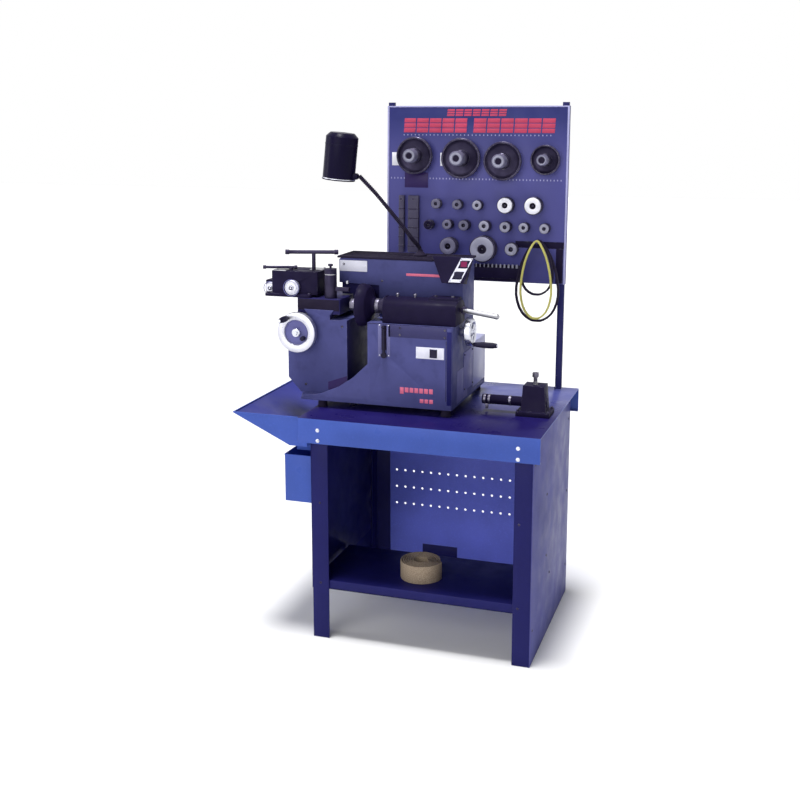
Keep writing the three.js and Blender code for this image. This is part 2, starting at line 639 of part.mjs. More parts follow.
function boringBarHolder() {
  const z0 = bench.height + fit.seat;
  const { left, right, front, back, towerInset, towerTaper } = barHolder;
  const foundation = block(left, right, front, back, z0, z0 + barHolder.base);
  const tower = prism('y', [
    [left + towerInset, z0], [right - towerInset, z0],
    [right - towerInset - towerTaper, z0 + barHolder.height],
    [left + towerInset + towerTaper, z0 + barHolder.height],
  ], front + towerInset, back - towerInset);
  const axis = { x: 0, y: (front + back) / 2, z: z0 + barHolder.barHeight };
  const bar = rod('x', barHolder.barRadius, left - barHolder.barLength, right - towerInset, axis);
  const screwX = (left + right) / 2;
  const screwHole = rod(
    'z', barHolder.screwHole, z0 + barHolder.height - holderScrew.bite, z0 + barHolder.height + fit.overrun,
    { x: screwX, y: axis.y, z: 0 }, facets.small);
  return cut(joined(foundation, tower, bar), screwHole);
}

function boringBarScrew() {
  const z0 = bench.height + fit.seat + barHolder.height - holderScrew.bite + fit.seat;
  const centre = {
    x: (barHolder.left + barHolder.right) / 2, y: (barHolder.front + barHolder.back) / 2, z: 0,
  };
  const shank = rod('z', holderScrew.radius, z0, z0 + holderScrew.length, centre, facets.small);
  const head = rod(
    'z', holderScrew.headRadius, z0 + holderScrew.length - holderScrew.headHeight,
    z0 + holderScrew.length, centre, 6);
  return joined(shank, head);
}

piece(benchGroup, 'boring_bar_holder', boringBarHolder(), 'darkPaint');
piece(benchGroup, 'boring_bar_screw', boringBarScrew(), 'brightSteel');

// Lathe base: plinth with its flared front skirt, and the cabinet at the right

const latheGroup = new THREE.Group();
latheGroup.position.set(lathe.left, lathe.front, bench.height);

const plinthTop = foot.height + base.plinth;

function rubberFoot(x, y) {
  const flareShare = 0.82;
  const outline = [
    [fit.seat, 0], [fit.seat, foot.radius],
    [foot.height - fit.seat, foot.radius * flareShare], [foot.height - fit.seat, 0],
  ];
  return turned('z', outline, { x, y, z: 0 }, facets.small);
}

function flareOutline() {
  const bottom = foot.height;
  const left = base.plinthLeft;
  const rise = base.flareTop - bottom - base.flareLip;
  const run = base.cabinetLeft - left;
  const curve = flareShares.map(([along, up]) => [left + along * run, bottom + base.flareLip + up * rise]);
  const inside = base.cabinetLeft + base.wall;
  return [[left, bottom], ...curve, [inside, base.flareTop], [inside, bottom]];
}

function baseCasting() {
  const plinth = prism('z', roundedRectangle(
    base.plinthLeft, base.width, 0, base.depth, base.cornerRadius), foot.height, plinthTop, [], 3);
  const skirt = prism('y', flareOutline(), 0, base.skirt);
  const cabinet = prism('z', roundedRectangle(
    base.cabinetLeft, base.width, 0, base.cabinetDepth, base.cornerRadius),
  foot.height, base.cabinetTop, [], 3);
  const hollow = block(
    base.cabinetLeft + base.wall, base.width - base.wall, base.wall, base.cabinetDepth - base.wall,
    foot.height - fit.overrun, base.cabinetTop - base.wall);
  const wheelHole = rod(
    'x', feedWheel.shaftRadius + fit.running, base.width - base.wall - fit.overrun, base.width + fit.overrun,
    { x: 0, y: feedWheel.y, z: feedWheel.z });
  const leverHole = rod(
    'y', feedWheel.shaftRadius + fit.running, -fit.overrun, base.wall + fit.overrun,
    { x: feedLever.x, y: 0, z: feedLever.bottom });
  const halfWidth = rocker.width / 2 + fit.running;
  const halfHeight = rocker.height / 2 + fit.running;
  const switchHole = block(
    rocker.x - halfWidth, rocker.x + halfWidth, -fit.overrun, base.wall + fit.overrun,
    rocker.z - halfHeight, rocker.z + halfHeight);
  return cut(joined(plinth, skirt, cabinet), hollow, wheelHole, leverHole, switchHole);
}

const footX = [foot.insetLeft, base.width - foot.insetRight];
const footY = [foot.insetFront, base.depth - foot.insetBack];

// Column that carries the cross slide: tapered body, neck and dovetail way, with a tunnel for the feed screw

const wayBase = column.top + column.neck;

function wayOutline(clearance) {
  const top = wayBase + column.wayHeight + clearance;
  const half = column.wayFoot / 2 + clearance;
  const halfTop = column.wayTop / 2 + clearance;
  const c = column.wayCentre;
  const from = wayBase - fit.overrun;
  return [[c - half, from], [c + half, from], [c + halfTop, top], [c - halfTop, top]];
}

function slideColumn() {
  const from = plinthTop + fit.seat;
  const outline = [
    [column.taperFoot, from], [column.right, from], [column.right, column.top],
    [column.left, column.top], [column.left, column.taperTop],
  ];
  const body = prism('y', outline, column.front, column.back);
  const neck = block(
    column.wayCentre - column.wayFoot / 2, column.wayCentre + column.wayFoot / 2, column.front, column.back,
    column.top - fit.overrun, wayBase);
  const way = prism('y', wayOutline(0), column.front, column.back);
  const half = crossScrew.nutWidth / 2 + fit.overrun;
  const tunnelFront = crossScrew.nutFront - crossScrew.travelFront - fit.overrun;
  const tunnelBack = crossScrew.nutFront + crossScrew.nutLength + crossScrew.travelBack + fit.overrun;
  const tunnel = block(
    crossScrew.x - half, crossScrew.x + half, tunnelFront, tunnelBack,
    crossScrew.z - half, column.top + fit.overrun);
  const bearing = rod(
    'y', crossScrew.radius + fit.running, column.front - fit.overrun, crossScrew.back + fit.overrun,
    { x: crossScrew.x, y: 0, z: crossScrew.z });
  return cut(joined(body, neck, way), tunnel, bearing);
}

// Cross slide with its dovetail groove and the nut block that runs on the screw

function crossSlide() {
  const bottom = wayBase + fit.running;
  const top = bottom + slide.height;
  const body = prism('y', [
    [slide.left, bottom], [slide.right, bottom], [slide.right, top], [slide.left, top],
  ], slide.front, slide.back);
  const groove = prism('y', wayOutline(fit.running), slide.front - fit.overrun, slide.back + fit.overrun);
  const halfNut = crossScrew.nutWidth / 2;
  const nutArm = block(
    crossScrew.x - halfNut, crossScrew.x + halfNut,
    crossScrew.nutFront, crossScrew.nutFront + crossScrew.nutLength,
    crossScrew.z - halfNut, bottom + fit.overrun);
  const nutBore = rod(
    'y', crossScrew.radius + fit.running, crossScrew.nutFront - fit.overrun,
    crossScrew.nutFront + crossScrew.nutLength + fit.overrun, { x: crossScrew.x, y: 0, z: crossScrew.z });
  return cut(joined(body, nutArm), groove, nutBore);
}

const slideTop = wayBase + fit.running + slide.height;
const crossWheelBack = column.front - crossWheel.gap;

function crossHandwheel() {
  const centre = { x: crossScrew.x, y: 0, z: crossScrew.z };
  const back = crossWheelBack;
  const front = back - crossWheel.rim;
  const webFront = back - crossWheel.rim / 2;
  const edge = fit.overrun;
  const wheel = turned('y', [
    [back, 0], [back, crossWheel.radius - edge], [back - edge, crossWheel.radius],
    [front + edge, crossWheel.radius],
    [front, crossWheel.radius - edge], [front, crossWheel.rimInner], [webFront, crossWheel.rimInner - edge],
    [webFront, crossWheel.hubRadius], [back - crossWheel.hubLength, crossWheel.hubRadius],
    [back - crossWheel.hubLength, 0],
  ], centre, facets.fine);
  const pin = rod(
    'y', crank.pinRadius, front - crank.gripLength - fit.overrun, front + fit.overrun,
    crankCentre, facets.small);
  const screw = rod('y', crossScrew.radius, back - fit.overrun, crossScrew.back, centre);
  return joined(wheel, pin, screw);
}

const crankCentre = {
  x: crossScrew.x + crank.radiusShare * crossWheel.radius * Math.cos(radians(crank.angleDegrees)),
  y: 0,
  z: crossScrew.z + crank.radiusShare * crossWheel.radius * Math.sin(radians(crank.angleDegrees)),
};

// A turned hand grip with a bore, free to spin on its pin. It starts at `from` and runs to `from + length`.
const gripShares = [[0, 0.68], [0.12, 0.74], [0.45, 1], [0.8, 0.96], [1, 0.7]];

function handGrip(axis, from, length, centre) {
  const bore = crank.pinRadius + fit.running;
  const outline = gripShares.map(([along, across]) => [from + along * length, across * crank.gripRadius]);
  return turned(axis, [[from, bore], ...outline, [from + length, bore], [from, bore]], centre, facets.small);
}

// Twin cutter: base plate, slotted block with a lower step at the left, two tool bars with their dials

const plateTop = slideTop + fit.seat + cutter.plate;
const toolBars = [leftBar, rightBar];
const tees = [leftTee, rightTee];

function twinCutterBody() {
  const c = cutter;
  const plate = prism('z', roundedRectangle(
    c.plateLeft, c.plateRight, c.plateFront, c.plateBack, base.cornerRadius),
  slideTop + fit.seat, plateTop, [], 3);
  const main = block(
    c.blockLeft, c.blockRight, c.blockFront, c.blockBack, plateTop - fit.overrun, plateTop + c.blockHeight);
  const step = block(
    c.stepLeft, c.blockLeft + fit.overrun, c.stepFront, c.stepBack,
    plateTop - c.plate, plateTop + c.stepHeight);
  const dialWells = toolBars.map((bar) => rod(
    'y', bar.dialRadius + fit.running, bar.dialWell, bar.seatFront,
    { x: bar.x, y: 0, z: plateTop + bar.lift }));
  const bores = toolBars.map((bar) => rod(
    'y', toolBar.radius + fit.running, c.plateFront - fit.overrun, c.plateBack + fit.overrun,
    { x: bar.x, y: 0, z: plateTop + bar.lift }));
  const slot = block(
    c.slotCentre - c.slotWidth / 2, c.slotCentre + c.slotWidth / 2, (c.blockFront + c.blockBack) / 2,
    c.blockBack + fit.overrun, plateTop + c.blockHeight / 2, plateTop + c.blockHeight + fit.overrun);
  const sockets = tees.map((tee) => rod(
    'z', teeStem.radius + fit.running, plateTop + c.blockHeight - teeStem.socket,
    plateTop + c.blockHeight + fit.overrun, { x: tee.x, y: tee.y, z: 0 }, facets.small));
  return cut(joined(plate, main, step), ...dialWells, ...bores, slot, ...sockets);
}

function toolBarBody(bar) {
  const centre = { x: bar.x, y: 0, z: plateTop + bar.lift };
  const nose = bar.dialFront - toolBar.noseReach;
  const tail = bar.seatBack + toolBar.tailReach;
  const shank = rod('y', toolBar.radius, nose, tail, centre, facets.small);
  const halfShare = 0.62;
  const tip = block(
    bar.x - toolBar.radius * halfShare, bar.x + toolBar.radius * halfShare,
    tail - fit.overrun, tail + toolBar.tipLength,
    centre.z - toolBar.radius * halfShare, centre.z + toolBar.radius * halfShare);
  return joined(shank, tip);
}

function depthDial(bar) {
  const back = bar.seatFront - fit.seat;
  const bore = toolBar.radius + fit.running;
  const stepShare = 0.72;
  const chamfer = fit.overrun;
  const outline = [
    [back, bore], [back, bar.dialRadius - chamfer], [back - chamfer, bar.dialRadius],
    [bar.dialFront + chamfer, bar.dialRadius], [bar.dialFront, bar.dialRadius - chamfer],
    [bar.dialFront, bar.dialRadius * stepShare],
    [bar.dialFront - toolBar.dialStep, bar.dialRadius * stepShare],
    [bar.dialFront - toolBar.dialStep, bore], [back, bore],
  ];
  return turned('y', outline, { x: bar.x, y: 0, z: plateTop + bar.lift });
}

function teeHandle(tee) {
  const bottom = plateTop + cutter.blockHeight - teeStem.socket + fit.seat;
  const barZ = plateTop + cutter.blockHeight + tee.rise;
  const turn = new THREE.Matrix4()
    .makeTranslation(tee.x, tee.y, 0)
    .multiply(new THREE.Matrix4().makeRotationZ(radians(tee.turnDegrees)));
  const stem = rod('z', teeStem.radius, bottom, barZ, { x: 0, y: 0, z: 0 }, facets.small);
  const bar = rod('x', tee.radius, -tee.armLeft, tee.armRight, { x: 0, y: 0, z: barZ }, facets.small);
  const ends = [[-tee.armLeft, 1], [tee.armRight, -1]].map(([x, inward]) => rod(
    'x', tee.radius + fit.overrun,
    Math.min(x, x + inward * tee.radius * 2), Math.max(x, x + inward * tee.radius * 2),
    { x: 0, y: 0, z: barZ }, facets.small));
  return joined(stem, bar, ...ends).transform(turn.elements);
}

function toolPostBody() {
  const p = toolPost;
  const from = slideTop + fit.seat;
  const neckShare = 0.45;
  const body = turned('z', [
    [from, 0], [from, p.radius], [from + p.height, p.radius], [from + p.height, p.knobRadius * neckShare],
    [from + p.height + p.knobRise / 2, p.knobRadius * neckShare],
    [from + p.height + p.knobRise / 2, p.knobRadius],
    [from + p.height + p.knobRise, p.knobRadius], [from + p.height + p.knobRise, 0],
  ], { x: p.x, y: p.y, z: 0 });
  const armFrom = from + p.armLift;
  const arm = block(p.x, p.x + p.armReach, p.y - p.arm / 2, p.y + p.arm / 2, armFrom, armFrom + p.arm);
  return joined(body, arm);
}

// Headstock housing with its overhang at the left, black tray on top

function headstockHousing() {
  const h = headstock;
  const outline = [
    [base.cabinetLeft, base.cabinetTop + fit.seat], [base.width, base.cabinetTop + fit.seat],
    [base.width, h.top - h.edge],
    [base.width - h.edge, h.top], [h.left + h.edge, h.top],
    [h.left, h.top - h.edge], [h.left, h.overhangBottom],
    [base.cabinetLeft, h.slopeBottom],
  ];
  const body = prism('y', outline, h.front, h.back);
  const wormHole = rod(
    'y', drive.shaftRadius + fit.running, h.back - drive.wormLength - fit.overrun, h.back + fit.overrun,
    { x: drive.axisX, y: 0, z: drive.wormZ });
  return cut(body, wormHole);
}

function trayMat() {
  const h = headstock;
  const x0 = h.left - tray.overhang;
  const x1 = base.width + tray.overhang;
  const y0 = h.front - tray.overhang;
  const y1 = h.back + tray.overhang;
  const from = h.top + fit.seat;
  const sheet = block(x0, x1, y0, y1, from, from + tray.sheet + tray.rim);
  const well = block(
    x0 + tray.rimWidth, x1 - tray.rimWidth, y0 + tray.rimWidth, y1 - tray.rimWidth,
    from + tray.sheet, from + tray.sheet + tray.rim + fit.overrun);
  const podNotch = block(
    pod.topLeft - fit.seat, x1 + fit.overrun, y0 - fit.overrun, h.front, from - fit.overrun,
    from + tray.sheet + tray.rim + fit.overrun);
  return cut(sheet, well, podNotch);
}

// Drive behind the cabinet: motor, pulleys and belt under a sheet cover

const pulleyBack = drive.pulleyFront + drive.pulleyWidth;

function driveMotor() {
  const centre = { x: drive.axisX, y: 0, z: drive.motorZ };
  const front = pulleyBack + fit.overrun * 4;
  const chamfer = drive.motorRadius / 7;
  return turned('y', [
    [drive.pulleyFront, 0], [drive.pulleyFront, drive.shaftRadius], [front, drive.shaftRadius],
    [front, drive.motorRadius - chamfer], [front + chamfer, drive.motorRadius],
    [front + drive.motorLength - chamfer, drive.motorRadius],
    [front + drive.motorLength, drive.motorRadius - chamfer],
    [front + drive.motorLength, 0],
  ], centre);
}

function motorSaddle() {
  const front = pulleyBack + fit.overrun * 8;
  const reachShare = 0.7;
  const half = drive.motorRadius * reachShare;
  return block(
    drive.axisX - half, drive.axisX + half, front, front + drive.motorLength * reachShare,
    plinthTop + fit.seat, drive.motorZ - drive.motorRadius * reachShare);
}

function grooved(radius, bore, centre) {
  const flange = fit.overrun;
  return turned('y', [
    [drive.pulleyFront, bore], [drive.pulleyFront, radius + flange], [drive.pulleyFront + flange, radius],
    [pulleyBack - flange, radius], [pulleyBack, radius + flange],
    [pulleyBack, bore], [drive.pulleyFront, bore],
  ], centre);
}

function wormShaft() {
  const centre = { x: drive.axisX, y: 0, z: drive.wormZ };
  const pulley = grooved(drive.largePulley, drive.shaftRadius - fit.overrun, centre);
  const shaft = rod('y', drive.shaftRadius, headstock.back - drive.wormLength, pulleyBack, centre);
  return joined(pulley, shaft);
}

// Belt round both pulleys: two arcs joined by the straight runs that touch them
function beltOutline(offset) {
  const low = drive.smallPulley + drive.beltGap + offset;
  const high = drive.largePulley + drive.beltGap + offset;
  const tilt = Math.asin((high - low) / (drive.wormZ - drive.motorZ));
  const points = [];
  const sweep = (z, radius, from, to) => {
    for (let i = 0; i <= facets.tiny; i += 1) {
      const angle = from + ((to - from) * i) / facets.tiny;
      points.push([drive.axisX + radius * Math.cos(angle), z + radius * Math.sin(angle)]);
    }
  };
  sweep(drive.wormZ, high, -tilt, Math.PI + tilt);
  sweep(drive.motorZ, low, Math.PI + tilt, 2 * Math.PI - tilt);
  return points;
}

function driveBelt() {
  const hole = new THREE.Path(beltOutline(0).map((p) => new THREE.Vector2(...p)));
  const inset = fit.overrun * 2;
  return prism('y', beltOutline(drive.beltThickness), drive.pulleyFront + inset, pulleyBack - inset, [hole]);
}

function rearCoverShell() {
  const r = rearCover;
  const front = base.cabinetDepth + fit.seat;
  const seat = plinthTop + fit.seat;
  const bodyBack = front + r.bodyDepth;
  const neckBack = front + r.neckDepth;
  const neckLeft = drive.axisX - r.neckHalf;
  const neckRight = drive.axisX + r.neckHalf;
  const outer = joined(
    block(r.left, base.width, front, bodyBack, seat, r.bodyTop),
    block(neckLeft, neckRight, front, neckBack, seat, r.neckTop));
  const inner = joined(
    block(
      r.left + r.sheet, base.width - r.sheet, front - fit.overrun, bodyBack - r.sheet,
      seat - fit.overrun, r.bodyTop - r.sheet),
    block(
      neckLeft + r.sheet, neckRight - r.sheet, front - fit.overrun, neckBack - r.sheet,
      seat - fit.overrun, r.neckTop - r.sheet));
  return cut(outer, inner);
}

// Spindle line: carrier on the cabinet, sliding quill, arbor, bell clamp and nut

const spindleCentre = { x: 0, y: spindle.y, z: spindle.z };

function quillCarrier() {
  const c = carrier;
  const from = base.cabinetTop + fit.seat;
  const back = headstock.front - fit.seat;
  const crown = c.top - from;
  const outline = [[c.front, from], [back, from], [back, c.top - crown / 3]];
  const steps = 8;
  const halfDepth = (back - c.front) / 2;
  for (let i = 1; i < steps; i += 1) {
    const angle = (Math.PI * i) / steps;
    outline.push([
      c.front + halfDepth + halfDepth * Math.cos(angle), c.top - crown / 3 + (crown / 3) * Math.sin(angle)]);
  }
  outline.push([c.front, c.top - crown / 3]);
  const body = prism('x', outline, c.left, c.right);
  const lugHalf = halfDepth / 2;
  const middle = c.front + halfDepth;
  const lug = block(
    c.lugLeft, c.lugRight, middle - lugHalf, middle + lugHalf, c.top - c.lugRise, c.top + c.lugRise);
  const bore = rod(
    'x', spindle.quillRadius + fit.running, c.left - fit.overrun, c.right - c.endWall, spindleCentre);
  return cut(joined(body, lug), bore);
}

function quillTube() {
  const bore = spindle.arborRadius + fit.running;
  const r = spindle.quillRadius;
  return turned('x', [
    [quill.left, bore], [quill.left, spindle.noseRadius], [quill.left + quill.nose, spindle.noseRadius],
    [quill.left + quill.nose, r], [quill.right, r], [quill.right, bore], [quill.left, bore],
  ], spindleCentre);
}

function spindleArbor() {
  const collar = bell.left + bell.length + fit.seat;
  const r = spindle.arborRadius;
  const collarEnd = quill.left - fit.running;
  return turned('x', [
    [arbor.left, 0], [arbor.left, r - fit.overrun], [arbor.left + fit.overrun, r],
    [collar, r], [collar, spindle.noseRadius],
    [collarEnd, spindle.noseRadius], [collarEnd, r], [arbor.right, r], [arbor.right, 0],
  ], spindleCentre);
}

function bellClamp() {
  const bore = spindle.arborRadius + fit.running;
  const end = bell.left + bell.length;
  const outline = bellShares.map(([back, across]) => [
    bell.left + back * bell.length, across === bellShares[0][1] ? bore : across * bell.radius,
  ]);
  outline.push([end, bore]);
  return turned('x', outline, spindleCentre, facets.fine);
}

function arborNutBody() {
  const from = bell.left + bellShares[bellShares.length - 1][0] * bell.length - fit.seat - arborNut.length;
  const nut = rod('x', arborNut.radius, from, from + arborNut.length, spindleCentre, arborNut.flats);
  const to = from + arborNut.length;
  const boreRadius = spindle.arborRadius + fit.running;
  const bore = rod('x', boreRadius, from - fit.overrun, to + fit.overrun, spindleCentre);
  return cut(nut, bore);
}

// A lever with its boss, straight arm and rounded grip, pointing along X
function quillLever() {
  const start = carrier.right + fit.seat;
  const end = start + leverPivot.reach;
  const dropShare = 0.5;
  const boss = rod('y', leverPivot.boss, spindle.y - leverPivot.width / 2, spindle.y + leverPivot.width / 2,
    { x: start + leverPivot.boss, y: 0, z: spindle.z }, facets.small);
  const arm = bentRod([
    [start + leverPivot.boss, spindle.y, spindle.z],
    [start + leverPivot.reach * dropShare, spindle.y, spindle.z - leverPivot.drop * dropShare],
    [end - leverPivot.tipRadius, spindle.y, spindle.z - leverPivot.drop],
  ], leverPivot.gripRadius, 6);
  const tip = turned('x', ballOutline(end - 2 * leverPivot.tipRadius, leverPivot.tipRadius),
    { x: 0, y: spindle.y, z: spindle.z - leverPivot.drop }, facets.small);
  return joined(boss, arm, tip);
}

function ballOutline(from, radius) {
  const outline = [];
  for (let i = 0; i <= facets.tiny; i += 1) {
    const angle = (Math.PI * i) / facets.tiny;
    const across = i === 0 || i === facets.tiny ? 0 : radius * Math.sin(angle);
    outline.push([from + radius - radius * Math.cos(angle), across]);
  }
  return outline;
}

// Spindle feed handwheel at the right of the cabinet: ring, three spokes, hub and shaft

function feedHandwheel() {
  const w = feedWheel;
  const centre = { x: 0, y: w.y, z: w.z };
  const from = base.width + w.offset;
  const to = from + w.rim;
  const edge = w.rimWidth / 4;
  const rim = turned('x', [
    [from, w.radius - w.rimWidth + edge], [from, w.radius - edge],
    [from + edge, w.radius], [to - edge, w.radius],
    [to, w.radius - edge], [to, w.radius - w.rimWidth + edge], [to - edge, w.radius - w.rimWidth],
    [from + edge, w.radius - w.rimWidth], [from, w.radius - w.rimWidth + edge],
  ], centre, facets.fine);
  const spokes = [];
  for (let i = 0; i < w.spokes; i += 1) {
    const angle = (2 * Math.PI * i) / w.spokes - Math.PI / 2;
    const turn = new THREE.Matrix4()
      .makeTranslation(0, w.y, w.z)
      .multiply(new THREE.Matrix4().makeRotationX(angle));
    const half = w.rimWidth / 2;
    const spoke = block(from + edge, to - edge, 0, w.radius - half, -half, half);
    spokes.push(spoke.transform(turn.elements));
  }
  const hub = rod('x', w.hubRadius, base.width + fit.seat, to, centre);
  const shaft = rod('x', w.shaftRadius, base.width - base.wall * 3, base.width + fit.overrun, centre);
  const pinTo = to + feedGrip.length + fit.overrun;
  const pin = rod('x', crank.pinRadius, to - fit.overrun, pinTo, feedGripCentre, facets.small);
  return joined(rim, ...spokes, hub, shaft, pin);
}

const feedGripCentre = { x: 0, y: feedWheel.y, z: feedWheel.z - feedGrip.radiusShare * feedWheel.radius };

function feedLeverBody() {
  const l = feedLever;
  const back = -fit.seat;
  const front = back - l.depth;
  const bar = block(l.x - l.width / 2, l.x + l.width / 2, front, back, l.bottom, l.top);
  const boss = rod('y', l.bossRadius, front, back, { x: l.x, y: 0, z: l.bottom });
  const pivot = { x: l.x, y: 0, z: l.bottom };
  const shaft = rod('y', feedWheel.shaftRadius, back - fit.overrun, base.wall + fit.overrun * 2, pivot);
  const knob = turned(
    'y', ballOutline(front - l.knobRadius - fit.overrun, l.knobRadius),
    { x: l.x, y: 0, z: l.top }, facets.small);
  return joined(bar, boss, shaft, knob);
}

// Switches: a rocker in the cabinet's front, and two in the sloping feed pod

function mainRocker() {
  const { x, z, width, height, depth, proud } = rocker;
  const outline = [
    [depth, z - height / 2 + proud], [depth, z + height / 2 - proud],
    [0, z + height / 2], [-proud / 2, z + height / 2],
    [0, z], [-proud, z - height / 2], [0, z - height / 2],
  ];
  return prism('x', outline, x - width / 2, x + width / 2);
}

function podFacePoint(share) {
  const y = -pod.bottomDepth + share * (pod.bottomDepth - pod.topDepth);
  return [headstock.front - fit.seat + y, pod.bottom + share * (pod.top - pod.bottom)];
}

function feedPod() {
  const back = headstock.front - fit.seat;
  const side = prism('x', [
    [back, pod.bottom - pod.topDepth], podFacePoint(0), podFacePoint(1), [back, pod.top],
  ], pod.topLeft, pod.topRight);
  const low = pod.bottom - pod.bottomDepth;
  const trims = [
    [
      [pod.topLeft - fit.overrun, low], [pod.bottomLeft, low],
      [pod.topLeft, pod.top], [pod.topLeft - fit.overrun, pod.top],
    ],
    [
      [pod.bottomRight, low], [pod.topRight + fit.overrun, low],
      [pod.topRight + fit.overrun, pod.top], [pod.topRight, pod.top], [pod.bottomRight, pod.bottom],
    ],
  ].map((outline) => prism('y', outline, back - pod.bottomDepth - fit.overrun, back + fit.overrun));
  return cut(side, ...trims, ...podWindowShares.map(podWindow));
}

const podSlope = Math.atan2(pod.bottomDepth - pod.topDepth, pod.top - pod.bottom);

// Moves a body drawn about the X axis onto the pod's sloping face, at a share of its height
function onPodFace(body, share) {
  const [y, z] = podFacePoint(share);
  const place = new THREE.Matrix4()
    .makeTranslation(base.width - pod.windowInset + share * pod.windowLean, y, z)
    .multiply(new THREE.Matrix4().makeRotationX(-podSlope));
  return body.transform(place.elements);
}

function podWindow(share) {
  const halfWidth = pod.windowWidth / 2;
  const halfHeight = pod.windowHeight / 2;
  return onPodFace(
    block(-halfWidth, halfWidth, -fit.overrun, pod.windowDepth, -halfHeight, halfHeight), share);
}

// A rocker that fills its window at the face and narrows inwards, so that it can tip
function podRocker(share) {
  const half = pod.windowHeight / 2 - fit.running;
  const inner = half - pod.rockerTaper;
  const outline = [
    [0, -half], [-pod.rockerProud, -inner], [-pod.rockerProud, inner], [0, half],
    [pod.rockerDepth, inner], [pod.rockerDepth, -inner],
  ];
  const halfWidth = pod.windowWidth / 2 - fit.running;
  return onPodFace(prism('x', outline, -halfWidth, halfWidth), share);
}

// Work lamp: swivel base on the tray, gooseneck, shade with its socket, and bulb

const trayTop = headstock.top + fit.seat + tray.sheet;

function lampGooseneck() {
  const l = lamp;
  const from = trayTop + fit.seat;
  const swivel = turned('z', [
    [from, 0], [from, l.baseRadius], [from + l.baseHeight / 2, l.baseRadius],
    [from + l.baseHeight, l.neckRadius * 2],
    [from + l.baseHeight, 0],
  ], { x: l.x, y: l.y, z: 0 });
  const neck = bentRod(neckPoints(), l.neckRadius, facets.fine);
  return joined(swivel, neck);
}

const neckReachShare = 1.8;
const neckShares = [[0, 0], [0, 0.12], [-0.09, 0.2], [-0.24, 0.36], [-0.42, 0.55], [-0.68, 0.78], [-1, 0.98]];

function neckPoints() {
  const l = lamp;
  const run = l.x - (l.shadeX + l.shadeRadius + l.knuckle * neckReachShare);
  const rise = l.shadeTop - l.shadeLength + l.knuckle - trayTop;
  return neckShares.map(([along, up]) => [l.x + along * run, l.y, trayTop + l.baseHeight / 2 + up * rise]);
}

function tilted(body) {
  const l = lamp;
  const pivot = [l.shadeX, l.y, l.shadeTop - l.shadeLength];
  const turn = new THREE.Matrix4()
    .makeTranslation(...pivot)
    .multiply(new THREE.Matrix4().makeRotationY(radians(l.shadeTilt)));
  return body.transform(turn.elements);
}

const socketShare = 0.36;

function lampShade() {
  const l = lamp;
  const top = l.shadeLength;
  const crown = l.shadeRadius / 4;
  const shell = turned('z', [
    [0, l.shadeRadius - l.shadeWall], [0, l.shadeRadius],
    [top - crown, l.shadeRadius], [top, l.shadeRadius - crown], [top, 0],
    [top - l.shadeWall, 0], [top - l.shadeWall, l.shadeRadius - crown - l.shadeWall],
    [top - crown, l.shadeRadius - l.shadeWall], [0, l.shadeRadius - l.shadeWall],
  ], { x: 0, y: 0, z: 0 });
  const middle = { x: 0, y: 0, z: 0 };
  const socket = rod('z', l.socketRadius, top - l.socketLength, top - fit.overrun / 2, middle, facets.small);
  const knuckle = rod(
    'y', l.knuckle, -l.knuckle, l.knuckle,
    { x: l.shadeRadius + l.knuckle * socketShare, y: 0, z: l.knuckle * 1.5 }, facets.small);
  const inside = rod('z', l.shadeRadius - l.shadeWall, -fit.overrun, top / 2, { x: 0, y: 0, z: 0 });
  return tilted(joined(shell, socket, cut(knuckle, inside)));
}

function lampBulb() {
  const l = lamp;
  const top = l.shadeLength - l.socketLength - fit.seat;
  const neck = l.bulbRadius * socketShare;
  const outline = [[top, 0], [top, neck], [top - l.bulbLength * 0.3, neck * 1.3]];
  for (let i = 1; i < facets.tiny; i += 1) {
    const angle = Math.PI * 0.25 + (Math.PI * 0.75 * i) / facets.tiny;
    outline.push([
      top - l.bulbLength + l.bulbRadius + l.bulbRadius * Math.cos(angle), l.bulbRadius * Math.sin(angle),
    ]);
  }
  outline.push([top - l.bulbLength, 0]);
  return tilted(turned('z', outline, { x: 0, y: 0, z: 0 }, facets.small));
}

// The lathe's pieces

piece(latheGroup, 'base_casting', baseCasting(), 'slatePaint');
['front', 'rear'].forEach((row, j) => ['left', 'right'].forEach((side, i) =>
  piece(latheGroup, `foot_${row}_${side}`, rubberFoot(footX[i], footY[j]), 'rubber')));
piece(latheGroup, 'slide_column', slideColumn(), 'slatePaint');
piece(latheGroup, 'headstock_housing', headstockHousing(), 'slatePaint');
piece(latheGroup, 'tray_mat', trayMat(), 'rubber');
piece(latheGroup, 'rear_cover', rearCoverShell(), 'benchPale');
piece(latheGroup, 'drive_motor', joined(driveMotor(), motorSaddle()), 'darkPaint');
piece(latheGroup, 'motor_pulley', grooved(
  drive.smallPulley, drive.shaftRadius + fit.running,
  { x: drive.axisX, y: 0, z: drive.motorZ }), 'aluminium');
piece(latheGroup, 'drive_belt', driveBelt(), 'rubber');
piece(latheGroup, 'worm_shaft', wormShaft(), 'brightSteel');
piece(latheGroup, 'quill_carrier', quillCarrier(), 'darkPaint');
piece(latheGroup, 'spindle_quill', quillTube(), 'blackSteel');
piece(latheGroup, 'spindle_arbor', spindleArbor(), 'brightSteel');
piece(latheGroup, 'bell_clamp', bellClamp(), 'blackSteel');
piece(latheGroup, 'arbor_nut', arborNutBody(), 'brightSteel');
piece(latheGroup, 'quill_lever', quillLever(), 'brightSteel');
piece(latheGroup, 'feed_handwheel', feedHandwheel(), 'brightSteel');
piece(latheGroup, 'feed_wheel_grip', handGrip(
  'x', base.width + feedWheel.offset + feedWheel.rim + fit.seat, feedGrip.length,
  feedGripCentre), 'lampBlack');
piece(latheGroup, 'feed_lever', feedLeverBody(), 'lampBlack');
